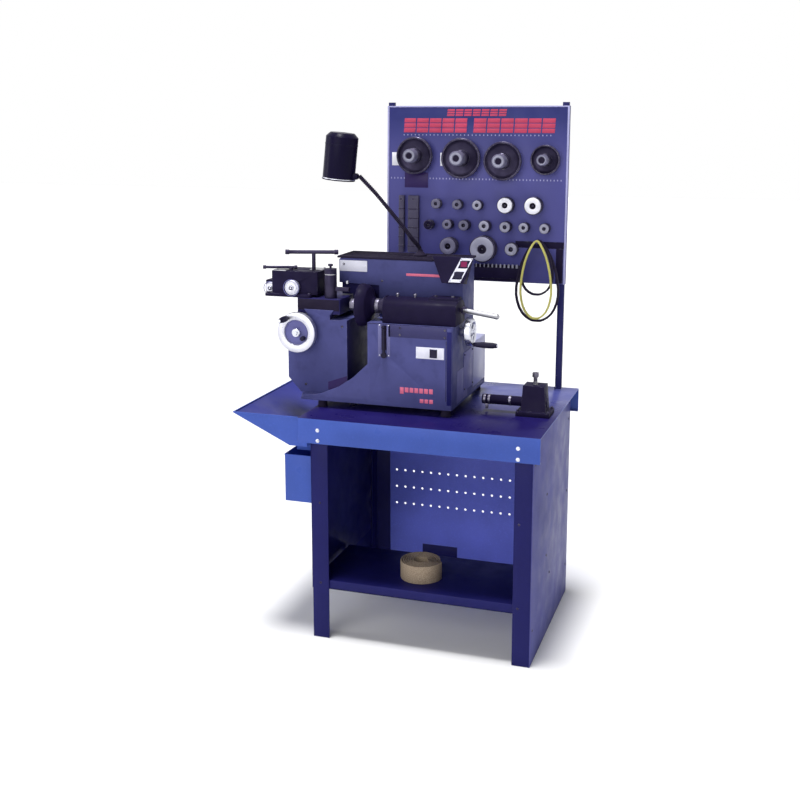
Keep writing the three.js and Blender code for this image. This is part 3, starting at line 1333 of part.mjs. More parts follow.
piece(latheGroup, 'main_rocker', mainRocker(), 'lampBlack');
piece(latheGroup, 'feed_pod', feedPod(), 'darkPaint');
['lower', 'upper'].forEach((level, i) =>
  piece(latheGroup, `feed_rocker_${level}`, podRocker(podWindowShares[i]), 'lampBlack'));
piece(latheGroup, 'cross_slide', crossSlide(), 'slatePaint');
piece(latheGroup, 'cross_handwheel', crossHandwheel(), 'aluminium');
piece(latheGroup, 'cross_wheel_grip', handGrip(
  'y', crossWheelBack - crossWheel.rim - fit.seat - crank.gripLength, crank.gripLength,
  crankCentre), 'lampBlack');
piece(latheGroup, 'twin_cutter_body', twinCutterBody(), 'slatePaint');
['left', 'right'].forEach((side, i) => {
  piece(latheGroup, `tool_bar_${side}`, toolBarBody(toolBars[i]), 'brightSteel');
  piece(latheGroup, `depth_dial_${side}`, depthDial(toolBars[i]), 'aluminium');
  piece(latheGroup, `tee_handle_${side}`, teeHandle(tees[i]), 'blackSteel');
});
piece(latheGroup, 'tool_post', toolPostBody(), 'blackSteel');
piece(latheGroup, 'lamp_gooseneck', lampGooseneck(), 'lampBlack');
piece(latheGroup, 'lamp_shade', lampShade(), 'lampBlack');
piece(latheGroup, 'lamp_bulb', lampBulb(), 'glass');

// The whole machine, stood on the floor with its origin under the middle of its box

const machine = new THREE.Group();
machine.add(benchGroup, latheGroup);
machine.updateMatrixWorld(true);
const extent = new THREE.Box3().setFromObject(machine, true);
machine.position.set(-(extent.min.x + extent.max.x) / 2, -(extent.min.y + extent.max.y) / 2, -extent.min.z);

export default machine;
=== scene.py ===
import json
import math

import bmesh
import bpy
from mathutils import Matrix, Vector


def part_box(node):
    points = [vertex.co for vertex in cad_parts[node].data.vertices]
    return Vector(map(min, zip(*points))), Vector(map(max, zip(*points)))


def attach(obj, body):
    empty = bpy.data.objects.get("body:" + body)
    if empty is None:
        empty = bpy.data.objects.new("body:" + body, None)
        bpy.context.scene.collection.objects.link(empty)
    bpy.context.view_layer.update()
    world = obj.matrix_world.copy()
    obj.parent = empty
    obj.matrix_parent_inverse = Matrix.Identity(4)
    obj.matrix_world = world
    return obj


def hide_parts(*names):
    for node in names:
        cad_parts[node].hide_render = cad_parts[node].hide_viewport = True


# The visible side of the machine: every solid dressed, and its small hardware modelled here
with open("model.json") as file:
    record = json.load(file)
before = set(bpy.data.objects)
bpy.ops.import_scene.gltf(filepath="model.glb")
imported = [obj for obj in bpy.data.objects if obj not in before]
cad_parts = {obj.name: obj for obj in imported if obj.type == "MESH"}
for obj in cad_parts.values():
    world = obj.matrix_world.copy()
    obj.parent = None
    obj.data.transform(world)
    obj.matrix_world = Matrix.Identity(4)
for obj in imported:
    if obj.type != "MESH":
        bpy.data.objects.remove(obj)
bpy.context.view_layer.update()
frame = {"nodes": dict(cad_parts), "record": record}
BODY_OF = {
    node: body for body, nodes in frame["record"]["behaviour"]["bodies"].items() for node in nodes}
NODE_SLOT = {entry["node"]: entry["material_slot"] for entry in frame["record"]["subparts"]}
FRAME = "machine_frame"
MM = 0.001

# Millimetres from the bench's own zero: left panel's outer face, front of the legs, floor
BENCH_WIDTH, BENCH_HEIGHT = 784, 806
APRON_FRONT, APRON_BACK = -26, 706
RIM_LEFT, RIM_FRONT, RIM_BACK = -281, -22.5, 702.5
BACK_PANEL_FRONT, BACK_PANEL_BACK = 678, 680
BOARD_FOOT_Y = 690
BOARD_LEAN = math.radians(1.3)
PANEL_LOW, PANEL_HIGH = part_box("side_panel_right")
BENCH_ZERO = Vector((PANEL_HIGH[0] - BENCH_WIDTH * MM, PANEL_LOW[1], 0))

# Millimetres from the lathe's own zero, on the bench top in line with the cabinet's front
LATHE_ZERO = BENCH_ZERO + Vector((-88, 128, BENCH_HEIGHT)) * MM
CABINET_RIGHT, COLUMN_FRONT, HEADSTOCK_FRONT = 558, 25, 132
SPINDLE_Y, SPINDLE_Z = 70, 366
CUTTER_TOP, TRAY_TOP = 476.7, 526.3


def bench(x, y, z):
    return BENCH_ZERO + Vector((x, y, z)) * MM


# Frames in millimetres: the bench, the lathe and the board with its Z running up the sheet
BENCH = Matrix.Translation(BENCH_ZERO) @ Matrix.Scale(MM, 4)
LATHE = Matrix.Translation(LATHE_ZERO) @ Matrix.Scale(MM, 4)
BOARD = (
    Matrix.Translation(bench(0, BOARD_FOOT_Y, BENCH_HEIGHT)) @ Matrix.Rotation(-BOARD_LEAN, 4, "X")
    @ Matrix.Scale(MM, 4))


def add(name, data):
    made = bpy.data.objects.new(name, data)
    bpy.context.scene.collection.objects.link(made)
    return made


# Camera, as solved from the photograph: pixels, degrees and a place in the bench's frame

PHOTO_WIDTH, FOCAL_PIXELS = 800, 1154.1
SENSOR = 36
CAMERA_PLACE = bench(1500.0, -3568.1, 1832.5)
CAMERA_DOWN, CAMERA_ROUND = 10.11, 18.21
PICTURE_SHIFT = -0.10


def make_camera():
    data = bpy.data.cameras.new("camera")
    data.sensor_fit = "HORIZONTAL"
    data.sensor_width = SENSOR
    data.lens = FOCAL_PIXELS / PHOTO_WIDTH * SENSOR
    data.shift_y = PICTURE_SHIFT
    data.clip_start, data.clip_end = 0.05, 60
    camera = add("camera", data)
    camera.location = CAMERA_PLACE
    camera.rotation_euler = (math.radians(90 - CAMERA_DOWN), 0, math.radians(CAMERA_ROUND))
    bpy.context.scene.camera = camera


make_camera()


# Materials

MATERIALS = {}
WHITE = (1.0, 1.0, 1.0)
BLACK = (0.0, 0.0, 0.0)
# Dot products of the rounded normal with the face's own
FULL_EDGE, NO_EDGE = 0.80, 0.995
COAT_SHARE = 0.15


def mixed(colour, other, share):
    return tuple(a + (b - a) * share for a, b in zip(colour, other))


def scaled(colour, by):
    return tuple(min(1.0, value * by) for value in colour)


class Shade:
    """One node material, kept under its name, with short calls for what the finishes share."""

    def __init__(self, name, metallic=0.0, roughness=0.5):
        material = bpy.data.materials.new(name)
        material.use_nodes = True
        MATERIALS[name] = material
        self.tree = material.node_tree
        self.shader = self.tree.nodes["Principled BSDF"]
        self.put("Metallic", metallic)
        self.put("Roughness", roughness)
        self.place = self.node("ShaderNodeTexCoord").outputs["Object"]

    def put(self, name, value):
        self.shader.inputs[name].default_value = value

    def node(self, kind, values=None, **settings):
        """A node with its settings, and with values on its inputs."""
        made = self.tree.nodes.new(kind)
        for key, value in settings.items():
            setattr(made, key, value)
        for key, value in (values or {}).items():
            made.inputs[key].default_value = value
        return made

    def link(self, source, target):
        self.tree.links.new(source, target)

    def noise(self, scale, detail=4.0, stretch=None):
        made = self.node("ShaderNodeTexNoise", {"Scale": scale, "Detail": detail})
        place = self.place
        if stretch:
            mapping = self.node("ShaderNodeMapping", {"Scale": stretch})
            self.link(place, mapping.inputs["Vector"])
            place = mapping.outputs["Vector"]
        self.link(place, made.inputs["Vector"])
        return made.outputs["Fac"]

    def ramp(self, factor, low, high, start, end):
        made = self.node("ShaderNodeMapRange", {
            "From Min": start, "From Max": end, "To Min": low, "To Max": high})
        self.link(factor, made.inputs["Value"])
        return made.outputs["Result"]

    def patches(self, scale, start=0.3, end=0.7, detail=4.0):
        """Noise as patches: 0 below the start, 1 above the end."""
        return self.ramp(self.noise(scale, detail), 0.0, 1.0, start, end)

    def fade(self, axis, low, high, start, end):
        """From one value to another between two places in metres along an axis."""
        split = self.node("ShaderNodeSeparateXYZ")
        self.link(self.place, split.inputs[0])
        return self.ramp(split.outputs[axis], low, high, start, end)

    def times(self, first, second):
        made = self.node("ShaderNodeMath", operation="MULTIPLY")
        self.link(first, made.inputs[0])
        if isinstance(second, float):
            made.inputs[1].default_value = second
        else:
            self.link(second, made.inputs[1])
        return made.outputs[0]

    def blend(self, factor, first, second):
        made = self.node("ShaderNodeMix", data_type="RGBA")
        self.link(factor, made.inputs["Factor"])
        for value, socket in ((first, made.inputs["A"]), (second, made.inputs["B"])):
            if isinstance(value, tuple):
                socket.default_value = (*value, 1)
            else:
                self.link(value, socket)
        return made.outputs["Result"]

    def edges(self, radius):
        """1 on convex and concave edges, 0 on flat faces."""
        bevel = self.node("ShaderNodeBevel", {"Radius": radius}, samples=4)
        geometry = self.node("ShaderNodeNewGeometry")
        dot = self.node("ShaderNodeVectorMath", operation="DOT_PRODUCT")
        self.link(bevel.outputs["Normal"], dot.inputs[0])
        self.link(geometry.outputs["Normal"], dot.inputs[1])
        return self.ramp(dot.outputs["Value"], 1.0, 0.0, FULL_EDGE, NO_EDGE)

    def colour(self, source):
        self.link(source, self.shader.inputs["Base Color"])

    def rubbed(self, body, worn, radius, amount, *patches):
        """The body's colour, and the worn one where patches cross its edges."""
        crossing = self.times(self.edges(radius), self.patches(*patches))
        self.colour(self.blend(self.times(crossing, amount), body, worn))

    def rough(self, scale, low, high):
        source = self.ramp(self.noise(scale), low, high, 0.3, 0.7)
        self.link(source, self.shader.inputs["Roughness"])

    def bump(self, height, strength, distance):
        made = self.node("ShaderNodeBump", {"Strength": strength, "Distance": distance})
        self.link(height, made.inputs["Height"])
        self.link(made.outputs["Normal"], self.shader.inputs["Normal"])

    def shine(self, specular):
        self.put("Specular IOR Level", specular)

    def coat(self, specular, roughness):
        """A thin clear skin that goes with the shine."""
        self.shine(specular)
        self.put("Coat Weight", specular * COAT_SHARE)
        self.put("Coat Roughness", roughness)


def enamel(name, colour, roughness, worn=(0.35, 0.36, 0.42), wear=0.5, shine=0.22):
    """Baked enamel: soft orange peel, clouded colour, thin rubbed edges and a little dust."""
    s = Shade(name)
    body = s.blend(s.patches(5.0), scaled(colour, 0.86), scaled(colour, 1.12))
    fleck = s.ramp(s.noise(140.0, 3.0), 0.0, 0.22, 0.55, 0.75)
    body = s.blend(fleck, body, scaled(colour, 1.6))
    s.rubbed(body, worn, 0.0008, wear, 38.0, 0.42, 0.62, 5.0)
    s.rough(14.0, roughness - 0.07, roughness + 0.12)
    s.bump(s.noise(380.0, 2.0), 0.25, 0.0004)
    s.coat(shine, 0.15)


def cast(name, colour, shine, roughness=0.46):
    """Hammered paint over a casting: coarser skin, darker hollows, chipped edges."""
    s = Shade(name)
    body = s.blend(s.patches(7.0, 0.32, 0.68, 5.0), scaled(colour, 0.84), scaled(colour, 1.16))
    grime = s.times(s.patches(22.0, 0.55, 0.8, 7.0), 0.35)
    body = s.blend(grime, body, mixed(colour, BLACK, 0.6))
    s.rubbed(body, (0.33, 0.33, 0.4), 0.003, 0.6, 55.0, 0.5, 0.66, 6.0)
    s.rough(30.0, roughness - 0.08, roughness + 0.14)
    s.bump(s.noise(260.0, 3.0), 0.35, 0.0006)
    s.coat(shine, 0.25)


def machined(name, colour, roughness, stain=0.35):
    """Machined metal: fine tool lines, smudges, brighter edges."""
    s = Shade(name, metallic=1.0)
    smudge = s.times(s.patches(26.0, 0.35, 0.75, 5.0), stain)
    body = s.blend(smudge, colour, mixed(colour, BLACK, 0.45))
    s.colour(s.blend(s.times(s.edges(0.0012), 0.5), body, mixed(colour, WHITE, 0.5)))
    s.rough(18.0, roughness - 0.07, roughness + 0.16)
    s.bump(s.noise(1.0, 2.0, (60, 900, 60)), 0.12, 0.0003)


def black_oxide():
    """Black oxide on steel with bright rubbed corners."""
    s = Shade("black_steel", metallic=0.5)
    colour = (0.016, 0.012, 0.036)
    body = s.blend(s.patches(16.0, 0.3, 0.75, 5.0), colour, mixed(colour, (0.16, 0.14, 0.24), 0.2))
    s.rubbed(body, (0.42, 0.42, 0.47), 0.0016, 0.75, 70.0, 0.38, 0.6)
    s.rough(40.0, 0.32, 0.55)
    s.bump(s.noise(420.0, 2.0), 0.18, 0.0003)
    s.shine(0.2)


def moulded(name, colour, roughness, strength=0.3, shine=0.12):
    """Moulded rubber or plastic with a fine grain and pale rubbing."""
    s = Shade(name, roughness=roughness)
    body = s.blend(s.patches(20.0, detail=5.0), scaled(colour, 0.9), scaled(colour, 1.2))
    s.rubbed(body, mixed(colour, WHITE, 0.2), 0.0014, 0.25, 60.0, 0.45, 0.62)
    s.rough(35.0, roughness - 0.08, roughness + 0.1)
    s.bump(s.noise(650.0, 2.0), strength, 0.0003)
    s.shine(shine)


def cork_band():
    """Tan cork and rubber band: dark crumbs, pale crumbs, open grain."""
    s = Shade("cork_band", roughness=0.85)
    body = s.blend(s.patches(420.0, 0.4, 0.62, 5.0), (0.25, 0.18, 0.12), (0.46, 0.37, 0.27))
    s.colour(s.blend(s.ramp(s.noise(11.0), 0.0, 0.35, 0.35, 0.7), body, (0.22, 0.17, 0.13)))
    s.bump(s.noise(520.0), 0.5, 0.0006)


def frosted_bulb():
    """Frosted bulb glass, lit from outside only."""
    s = Shade("bulb_glass", roughness=0.35)
    s.put("Transmission Weight", 0.25)
    s.put("Subsurface Weight", 0.2)
    s.colour(s.blend(s.patches(30.0), (0.86, 0.84, 0.78), (0.95, 0.94, 0.9)))
    s.bump(s.noise(900.0, 2.0), 0.1, 0.0002)


def board_paint():
    """Board enamel: dark header, lighter middle, painted shade darkening it towards the foot, with the
    sheet's faint waves.
    """
    s = Shade("board_paint", roughness=0.4)
    middle, header = (0.074, 0.074, 0.26), (0.012, 0.016, 0.115)
    levels = [bench(0, 0, BENCH_HEIGHT + up).z for up in (470, 560, 860, 1010)]
    body = s.blend(s.fade("Z", 0.0, 1.0, *levels[2:]), middle, header)
    # Painted shade: darker towards the board's foot
    body = s.blend(s.times(s.fade("Z", 1.0, 0.0, *levels[:2]), 0.45), body, (0.03, 0.03, 0.16))
    s.colour(s.blend(s.times(s.patches(6.0, 0.35), 0.25), body, (0.07, 0.07, 0.26)))
    s.rough(14.0, 0.3, 0.5)
    s.bump(s.noise(380.0, 2.0), 0.2, 0.0004)
    s.shine(0.16)


def deck_shade_and_sheen():
    """Deck enamel with painted light: painted shade makes it nearly black-blue in front, and a painted
    reflection makes it paler behind the machine.
    """
    s = Shade("bench_deck_shade_and_sheen")
    near, far = bench(0, 230, 0).y, bench(0, 620, 0).y
    # Painted shade in front, painted reflection behind
    body = s.blend(s.fade("Y", 0.0, 1.0, near, far), (0.010, 0.006, 0.075), (0.09, 0.104, 0.35))
    s.colour(s.blend(s.times(s.patches(7.0, 0.35), 0.25), body, (0.03, 0.027, 0.18)))
    s.rough(14.0, 0.25, 0.4)
    s.bump(s.noise(380.0, 2.0), 0.15, 0.0003)
    s.shine(0.07)


# Bench and board
enamel("bench_blue", (0.045, 0.088, 0.375), 0.32, shine=0.16)
# A darker copy of the bench blue for the chute's upward faces: painted shade
enamel("chute_blue_shaded", (0.034, 0.04, 0.24), 0.36, shine=0.06)
deck_shade_and_sheen()
enamel("bench_pale", (0.078, 0.081, 0.27), 0.4, shine=0.05)
# A lighter copy of the bench paint for the back panel, which lies in the bench top's shade: painted light
enamel("bench_back", (0.125, 0.155, 0.66), 0.4)
enamel("bench_navy", (0.010, 0.010, 0.088), 0.36, shine=0.1)
board_paint()
enamel("board_edge", (0.36, 0.36, 0.62), 0.35, wear=0.2)
# Castings and metals
cast("slate_paint", (0.068, 0.072, 0.21), 0.05)
cast("slate_light", (0.15, 0.15, 0.36), 0.06)
cast("slate_dark", (0.022, 0.019, 0.09), 0.04)
cast("dark_paint", (0.008, 0.005, 0.026), 0.07, roughness=0.55)
black_oxide()
cast("bronze_dark", (0.065, 0.058, 0.11), 0.2, roughness=0.5)
machined("grey_steel", (0.34, 0.34, 0.37), 0.34, stain=0.4)
machined("bright_steel", (0.66, 0.67, 0.75), 0.26)
machined("aluminium_dial", (0.62, 0.62, 0.7), 0.36, stain=0.3)
machined("dim_steel", (0.16, 0.15, 0.2), 0.42, stain=0.5)
# Rubber, plastic, glass and the turned faces on the board
moulded("black_rubber", (0.013, 0.009, 0.026), 0.7)
moulded("yellow_rubber", (0.5, 0.47, 0.14), 0.5)
moulded("pale_face", (0.78, 0.78, 0.88), 0.45, strength=0.15, shine=0.4)
moulded("grey_face", (0.27, 0.27, 0.36), 0.45, strength=0.15, shine=0.4)
moulded("dim_face", (0.13, 0.125, 0.2), 0.45, strength=0.15, shine=0.3)
moulded("black_plastic", (0.012, 0.01, 0.03), 0.42, strength=0.12)
moulded("red_plastic", (0.16, 0.012, 0.06), 0.4, strength=0.1)
cork_band()
frosted_bulb()
# Trim
enamel("lamp_shell", (0.006, 0.004, 0.022), 0.3, worn=(0.12, 0.12, 0.2), shine=0.05)
enamel("label_purple", (0.02, 0.006, 0.085), 0.45, wear=0.1)
enamel("red_paint", (0.5, 0.045, 0.11), 0.45, wear=0.1)
enamel("rose_paint", (0.66, 0.14, 0.24), 0.45, wear=0.1)
enamel("white_paint", (0.7, 0.7, 0.82), 0.4, worn=(0.4, 0.4, 0.44), wear=0.2)
enamel("corner_shade", (0.028, 0.026, 0.105), 0.4, wear=0.05)
enamel("rear_pale", (0.36, 0.37, 0.6), 0.35)
enamel("slot_grey", (0.13, 0.13, 0.3), 0.4, wear=0.05)


def by_member(groups):
    return {member: value for value, members in groups.items() for member in members}


# Dressing the CAD nodes: the same shape with rounded edges and smooth turned surfaces

SAME_POINT = 1e-5
FLAT, SHARP = math.radians(1.0), math.radians(32)
SMOOTH_BELOW = 35
# Widths of the rounded edges in metres
USUAL_EDGE = 0.0008
EDGE_OF = by_member({
    0.0: ("back_panel", "lamp_bulb"),
    0.0006: ("chip_chute", "chip_bucket", "side_panel_left", "side_panel_right", "lamp_shade"),
    0.001: ("bottom_shelf",),
    0.0014: ("bench_top", "rear_cover"),
    0.0015: ("twin_cutter_body", "tray_mat", "feed_pod"),
    0.002: ("cross_slide", "quill_carrier", "boring_bar_holder"),
    0.003: ("slide_column", "headstock_housing"),
    0.0035: ("base_casting",),
})
PAINT_OF = by_member({
    "black_steel": ("spindle_quill", "quill_lever"),
    "dim_steel": ("spindle_arbor", "arbor_nut", "boring_bar_screw"),
    # The back panel in its lighter copy: painted light
    "bench_back": ("back_panel",),
    "rear_pale": ("rear_cover",),
    "dark_paint": ("bell_clamp",),
    "slate_dark": ("cross_slide",),
})
BUILT_HERE = {"tool_board", "cross_handwheel", "lamp_gooseneck"}


def round_edges(bm, edges, width):
    bmesh.ops.bevel(
        bm, geom=edges, offset=width, offset_type="OFFSET", segments=2, profile=0.5, affect="EDGES",
        clamp_overlap=True)


def mesh_of(bm, name, degrees=SMOOTH_BELOW):
    """The shape as a mesh, smooth wherever faces meet at less than the angle."""
    bmesh.ops.recalc_face_normals(bm, faces=bm.faces)
    mesh = bpy.data.meshes.new(name)
    bm.to_mesh(mesh)
    bm.free()
    mesh.polygons.foreach_set("use_smooth", [True] * len(mesh.polygons))
    mesh.set_sharp_from_angle(angle=math.radians(degrees))
    return mesh


def settle(mesh, body, material):
    """An object that rides with its body, under the mesh's name."""
    obj = add(mesh.name, mesh)
    mesh.materials.append(MATERIALS[material])
    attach(obj, body)
    return obj


def dress(node):
    """The node's own shape as a clean mesh, with every sharp edge rounded."""
    bm = bmesh.new()
    bm.from_mesh(frame["nodes"][node].data)
    bmesh.ops.remove_doubles(bm, verts=bm.verts, dist=SAME_POINT)
    bmesh.ops.dissolve_limit(bm, angle_limit=FLAT, verts=bm.verts, edges=bm.edges)
    sharp = [e for e in bm.edges if len(e.link_faces) == 2 and e.calc_face_angle(0) > SHARP]
    edge = EDGE_OF.get(node, USUAL_EDGE)
    if edge > 0 and sharp:
        round_edges(bm, sharp, edge)
    material = PAINT_OF.get(node, NODE_SLOT[node])
    obj = settle(mesh_of(bm, node + "_dressed"), BODY_OF[node], material)
    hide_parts(node)
    return obj


def repaint(obj, material, chosen):
    """A second material on the chosen faces."""
    obj.data.materials.append(MATERIALS[material])
    for face in obj.data.polygons:
        if chosen(face):
            face.material_index = 1


def thicken_sideways(obj, millimetres):
    """A hanging belt drawn thicker in its loop, and no wider along its peg."""
    for vertex in obj.data.vertices:
        push = Vector((vertex.normal.x, 0, vertex.normal.z))
        if push.length > 0.3:
            vertex.co += push.normalized() * millimetres * MM


DRESSED = {node: dress(node) for node in BODY_OF if node not in BUILT_HERE}
# The bench top's upward faces in the deck enamel: painted shade on the top, with a painted reflection
# further back
repaint(DRESSED["bench_top"], "bench_deck_shade_and_sheen", lambda face: face.normal.z > 0.9)
# The chute's upward faces in the darker blue: painted shade inside the trough
repaint(DRESSED["chip_chute"], "chute_blue_shaded", lambda face: face.normal.z > 0.3)
# The column's right-facing side in the darker slate: painted shade
repaint(DRESSED["slide_column"], "slate_dark", lambda face: face.normal.x > 0.9)
for belt, more in (("yellow", 0.8), ("black_small", 1.2), ("black_large", 1.6)):
    thicken_sideways(DRESSED["silencer_belt_" + belt], more)
LEVER = DRESSED["quill_lever"]
LEVER_GRIP = (LATHE_ZERO + Vector((626, 0, 0)) * MM).x
repaint(LEVER, "grey_steel", lambda face: (LEVER.matrix_world @ face.center).x > LEVER_GRIP)


# Pieces modelled here: bodies of one material are gathered in one mesh

AXES = {
    "front": ((1, 0, 0), (0, 0, 1), (0, -1, 0)), "back": ((-1, 0, 0), (0, 0, 1), (0, 1, 0)),
    "right": ((0, 1, 0), (0, 0, 1), (1, 0, 0)), "left": ((0, -1, 0), (0, 0, 1), (-1, 0, 0)),
    "up": ((1, 0, 0), (0, 1, 0), (0, 0, 1)),
}


def facing(zero, point, direction):
    """A frame at a point in millimetres whose Z looks in the named direction."""
    turn = Matrix([(*axis, 0) for axis in AXES[direction]] + [(0, 0, 0, 1)]).transposed()
    return zero @ Matrix.Translation(point) @ turn


def circle(sides):
    return [(math.cos(math.tau * k / sides), math.sin(math.tau * k / sides)) for k in range(sides)]


class Batch:
    """One piece in the making; all its shapes are given in a frame's millimetres."""

    def __init__(self, name, material, body=FRAME):
        self.name, self.material, self.body = name, material, body
        self.bm = bmesh.new()

    def ring(self, points, place):
        return [self.bm.verts.new(place @ Vector(point)) for point in points]

    def join(self, low, high):
        """Faces between two rings, either of which may be a single point."""
        made = []
        for k in range(max(len(low), len(high))):
            m = k + 1
            corners = [low[k % len(low)], low[m % len(low)], high[m % len(high)], high[k % len(high)]]
            kept = list(dict.fromkeys(corners))
            if len(kept) > 2:
                made.append(self.bm.faces.new(kept))
        return made

    def turn(self, profile, place, sides):
        """A body turned about the frame's Z; profile points are (along, radius)."""
        rings = [
            self.ring([(radius * c, radius * s, along) for c, s in circle(sides if radius else 1)], place)
            for along, radius in profile]
        for low, high in zip(rings, rings[1:]):
            self.join(low, high)

    def rod(self, length, radius, place):
        self.turn([(0, 0), (0, radius), (length, radius), (length, 0)], place, 12)

    def slab(self, outline, thick, place, edge=0.0):
        """A plate with the outline in the frame's XY plane, rounded at its outer edges."""
        low = self.ring([(x, y, 0) for x, y in outline], place)
        high = self.ring([(x, y, thick) for x, y in outline], place)
        faces = [self.bm.faces.new(low[::-1]), self.bm.faces.new(high), *self.join(low, high)]
        if edge > 0:
            edges = {e for f in faces for e in f.edges if e not in faces[0].edges}
            round_edges(self.bm, list(edges), edge * MM)

    def box(self, x0, x1, y0, y1, thick, place, edge=0.0):
        self.slab([(x0, y0), (x1, y0), (x1, y1), (x0, y1)], thick, place, edge)

    def ticks(self, count, size, place, lift, long, short):
        """Graduations round the frame's Z, every fifth a long one; spans are (inner, outer)."""
        for k in range(count):
            turn = Matrix.Rotation(math.tau * k / count, 4, "Z")
            span = short if k % 5 else long
            self.box(-size, size, *span, size, place @ turn @ Matrix.Translation((0, 0, lift)))

    def sweep(self, points, radii, place):
        """A round bar along the points, with a radius for each."""
        rings = []
        for k, point in enumerate(points):
            ahead = points[min(k + 1, len(points) - 1)] - points[max(k - 1, 0)]
            normal = ahead.cross(Vector((0, 1, 0))).normalized()
            across = normal.cross(ahead).normalized()
            rings.append(self.ring(
                [point + normal * radii[k] * c + across * radii[k] * s for c, s in circle(14)], place))
        for low, high in zip(rings, rings[1:]):
            self.join(low, high)
        self.bm.faces.new(rings[0][::-1])
        self.bm.faces.new(rings[-1])

    def done(self, degrees=SMOOTH_BELOW, replaces=None):
        obj = settle(mesh_of(self.bm, self.name, degrees), self.body, self.material)
        if replaces:
            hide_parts(replaces)


def boxes(name, material, place, thick, edge, *extents, body=FRAME):
    """A piece of boxes that stand on one plane; extents are x0, x1, y0, y1."""
    batch = Batch(name, material, body)
    for extent in extents:
        batch.box(*extent, thick, place, edge)
    batch.done()


def hex_head(batch, zero, point, direction, radius, height):
    place = facing(zero, point, direction)
    batch.turn([(0, 0), (0, radius * 1.25), (0.8, radius * 1.25), (0.8, radius * 0.9)], place, 20)
    batch.turn([
        (0.8, 0), (0.8, radius), (height - 0.6, radius), (height, radius * 0.86), (height, 0)], place, 6)


def socket_head(batch, zero, point, direction, radius, height):
    batch.turn([
        (0, 0), (0, radius), (height - 0.7, radius), (height, radius - 0.7), (height, radius * 0.5),
        (height * 0.45, radius * 0.5), (height * 0.45, 0)], facing(zero, point, direction), 18)


def pan_head(batch, zero, point, direction, radius, height):
    batch.turn([
        (0, 0), (0, radius), (height * 0.35, radius), (height * 0.75, radius * 0.8), (height, radius * 0.42),
        (height, 0)], facing(zero, point, direction), 16)


# Bench: skirt, bolts, screws, rolled rims, shelf lip and the bucket's rim

def bench_details():
    boxes(
        "left_panel_skirt", "bench_navy", facing(BENCH, (2, 0, 0), "left"), 2, 0.4,
        (-BACK_PANEL_FRONT, -345, 100, 184))
    bolts = Batch("bench_bolts", "bright_steel")
    for x in (37, 737):
        for z in (767, 730):
            hex_head(bolts, BENCH, (x, APRON_FRONT, z), "front", 5.5, 4.5)
            hex_head(bolts, BENCH, (x, APRON_BACK, z), "back", 5.5, 4.5)
    bolts.done()
    dark = Batch("panel_screws", "black_steel")
    for y, z in (
            (244, 532), (252, 305), (318, 217), (30, 700), (650, 700), (30, 120), (650, 120), (640, 420)):
        pan_head(dark, BENCH, (BENCH_WIDTH, y, z), "right", 5, 2.2)
    for x, z in ((739, 499), (739, 205), (32, 499), (32, 205)):
        pan_head(dark, BENCH, (x, 0, z), "front", 4.2, 2)
    for x, z in ((43, 300), (43, 225), (120, 660), (640, 660), (680, 250)):
        pan_head(dark, BENCH, (x, BACK_PANEL_FRONT, z), "front", 4.5, 2)
        pan_head(dark, BENCH, (x, BACK_PANEL_BACK, z), "back", 4.5, 2)
    for y in (100, 580):
        pan_head(dark, BENCH, (0, y, 640), "left", 5, 2.2)
    dark.done()
    boxes(
        "back_patch", "bench_navy", facing(BENCH, (0, BACK_PANEL_FRONT, 0), "front"), 1.2, 0.4,
        (200, 344, 60, 122))
    rims = Batch("rolled_rims", "bench_blue")
    for y in (RIM_FRONT, RIM_BACK):
        rims.rod(244, 2.2, facing(BENCH, (RIM_LEFT, y, BENCH_HEIGHT), "right"))
    rims.rod(RIM_BACK - RIM_FRONT, 2.2, facing(BENCH, (RIM_LEFT, RIM_FRONT, BENCH_HEIGHT), "back"))
    rims.done()
    boxes("shelf_lip_fold", "bench_navy", facing(BENCH, (0, 17.3, 183), "front"), 12, 0.8, (8, 776, 0, 5))
    edge = Batch("bucket_rim", "bench_blue", "bucket")
    top = BENCH_HEIGHT - 146
    for y in (10, 365):
        edge.rod(102, 2, facing(BENCH, (-102.3, y, top), "right"))
    for x in (-102.3, -0.9):
        edge.rod(355, 2, facing(BENCH, (x, 10, top), "back"))
    edge.done()


bench_details()


# Tool board: sheet, pale strips of painted highlight along its edges, plain red bars, rows of holes and what
# hangs on it

BOARD_LEFT, BOARD_RIGHT, BOARD_LOW, BOARD_HIGH = 46, 745, 397, 1058
FLANGE = 3
BELL_RADIUS, BELL_LENGTH = 66, 97
PIECE_LENGTH = 47
# Shares of the sheet's width and height, then of the bell's radius
BELLS = ((0.164, 0.716, 1.08), (0.426, 0.704, 1.15), (0.657, 0.691, 1.1), (0.888, 0.7, 0.84))
# The same, then the share of the usual length and the finish of the turned face
CONES = (
    (0.679, 0.443, 0.47, 0.88, "pale_face"), (0.831, 0.443, 0.51, 0.92, "pale_face"),
    (0.366, 0.2, 0.51, 0.92, "dim_face"), (0.56, 0.19, 0.76, 1.04, "grey_face"),
    (0.714, 0.193, 0.38, 0.63, "grey_face"))
RINGS = (
    (0.29, 0.442, 0.29, 0.63, "dim_face"), (0.411, 0.44, 0.29, 0.71, "dim_face"),
    (0.523, 0.439, 0.29, 0.71, "grey_face"), (0.249, 0.32, 0.28, 0.71, "dark_paint"),
    (0.358, 0.325, 0.29, 0.83, "dim_face"), (0.452, 0.323, 0.31, 0.83, "dim_face"),
    (0.567, 0.322, 0.32, 0.88, "grey_face"), (0.682, 0.32, 0.32, 0.88, "grey_face"),
    (0.783, 0.319, 0.29, 0.83, "grey_face"), (0.895, 0.317, 0.29, 0.83, "grey_face"))


def board_x(share):
    return BOARD_LEFT + share * (BOARD_RIGHT - BOARD_LEFT)


def board_z(share):
    return BOARD_LOW + share * (BOARD_HIGH - BOARD_LOW)


def board_place(x=0, z=0, out=3.0):
    return facing(BOARD, (x, -out, z), "front")


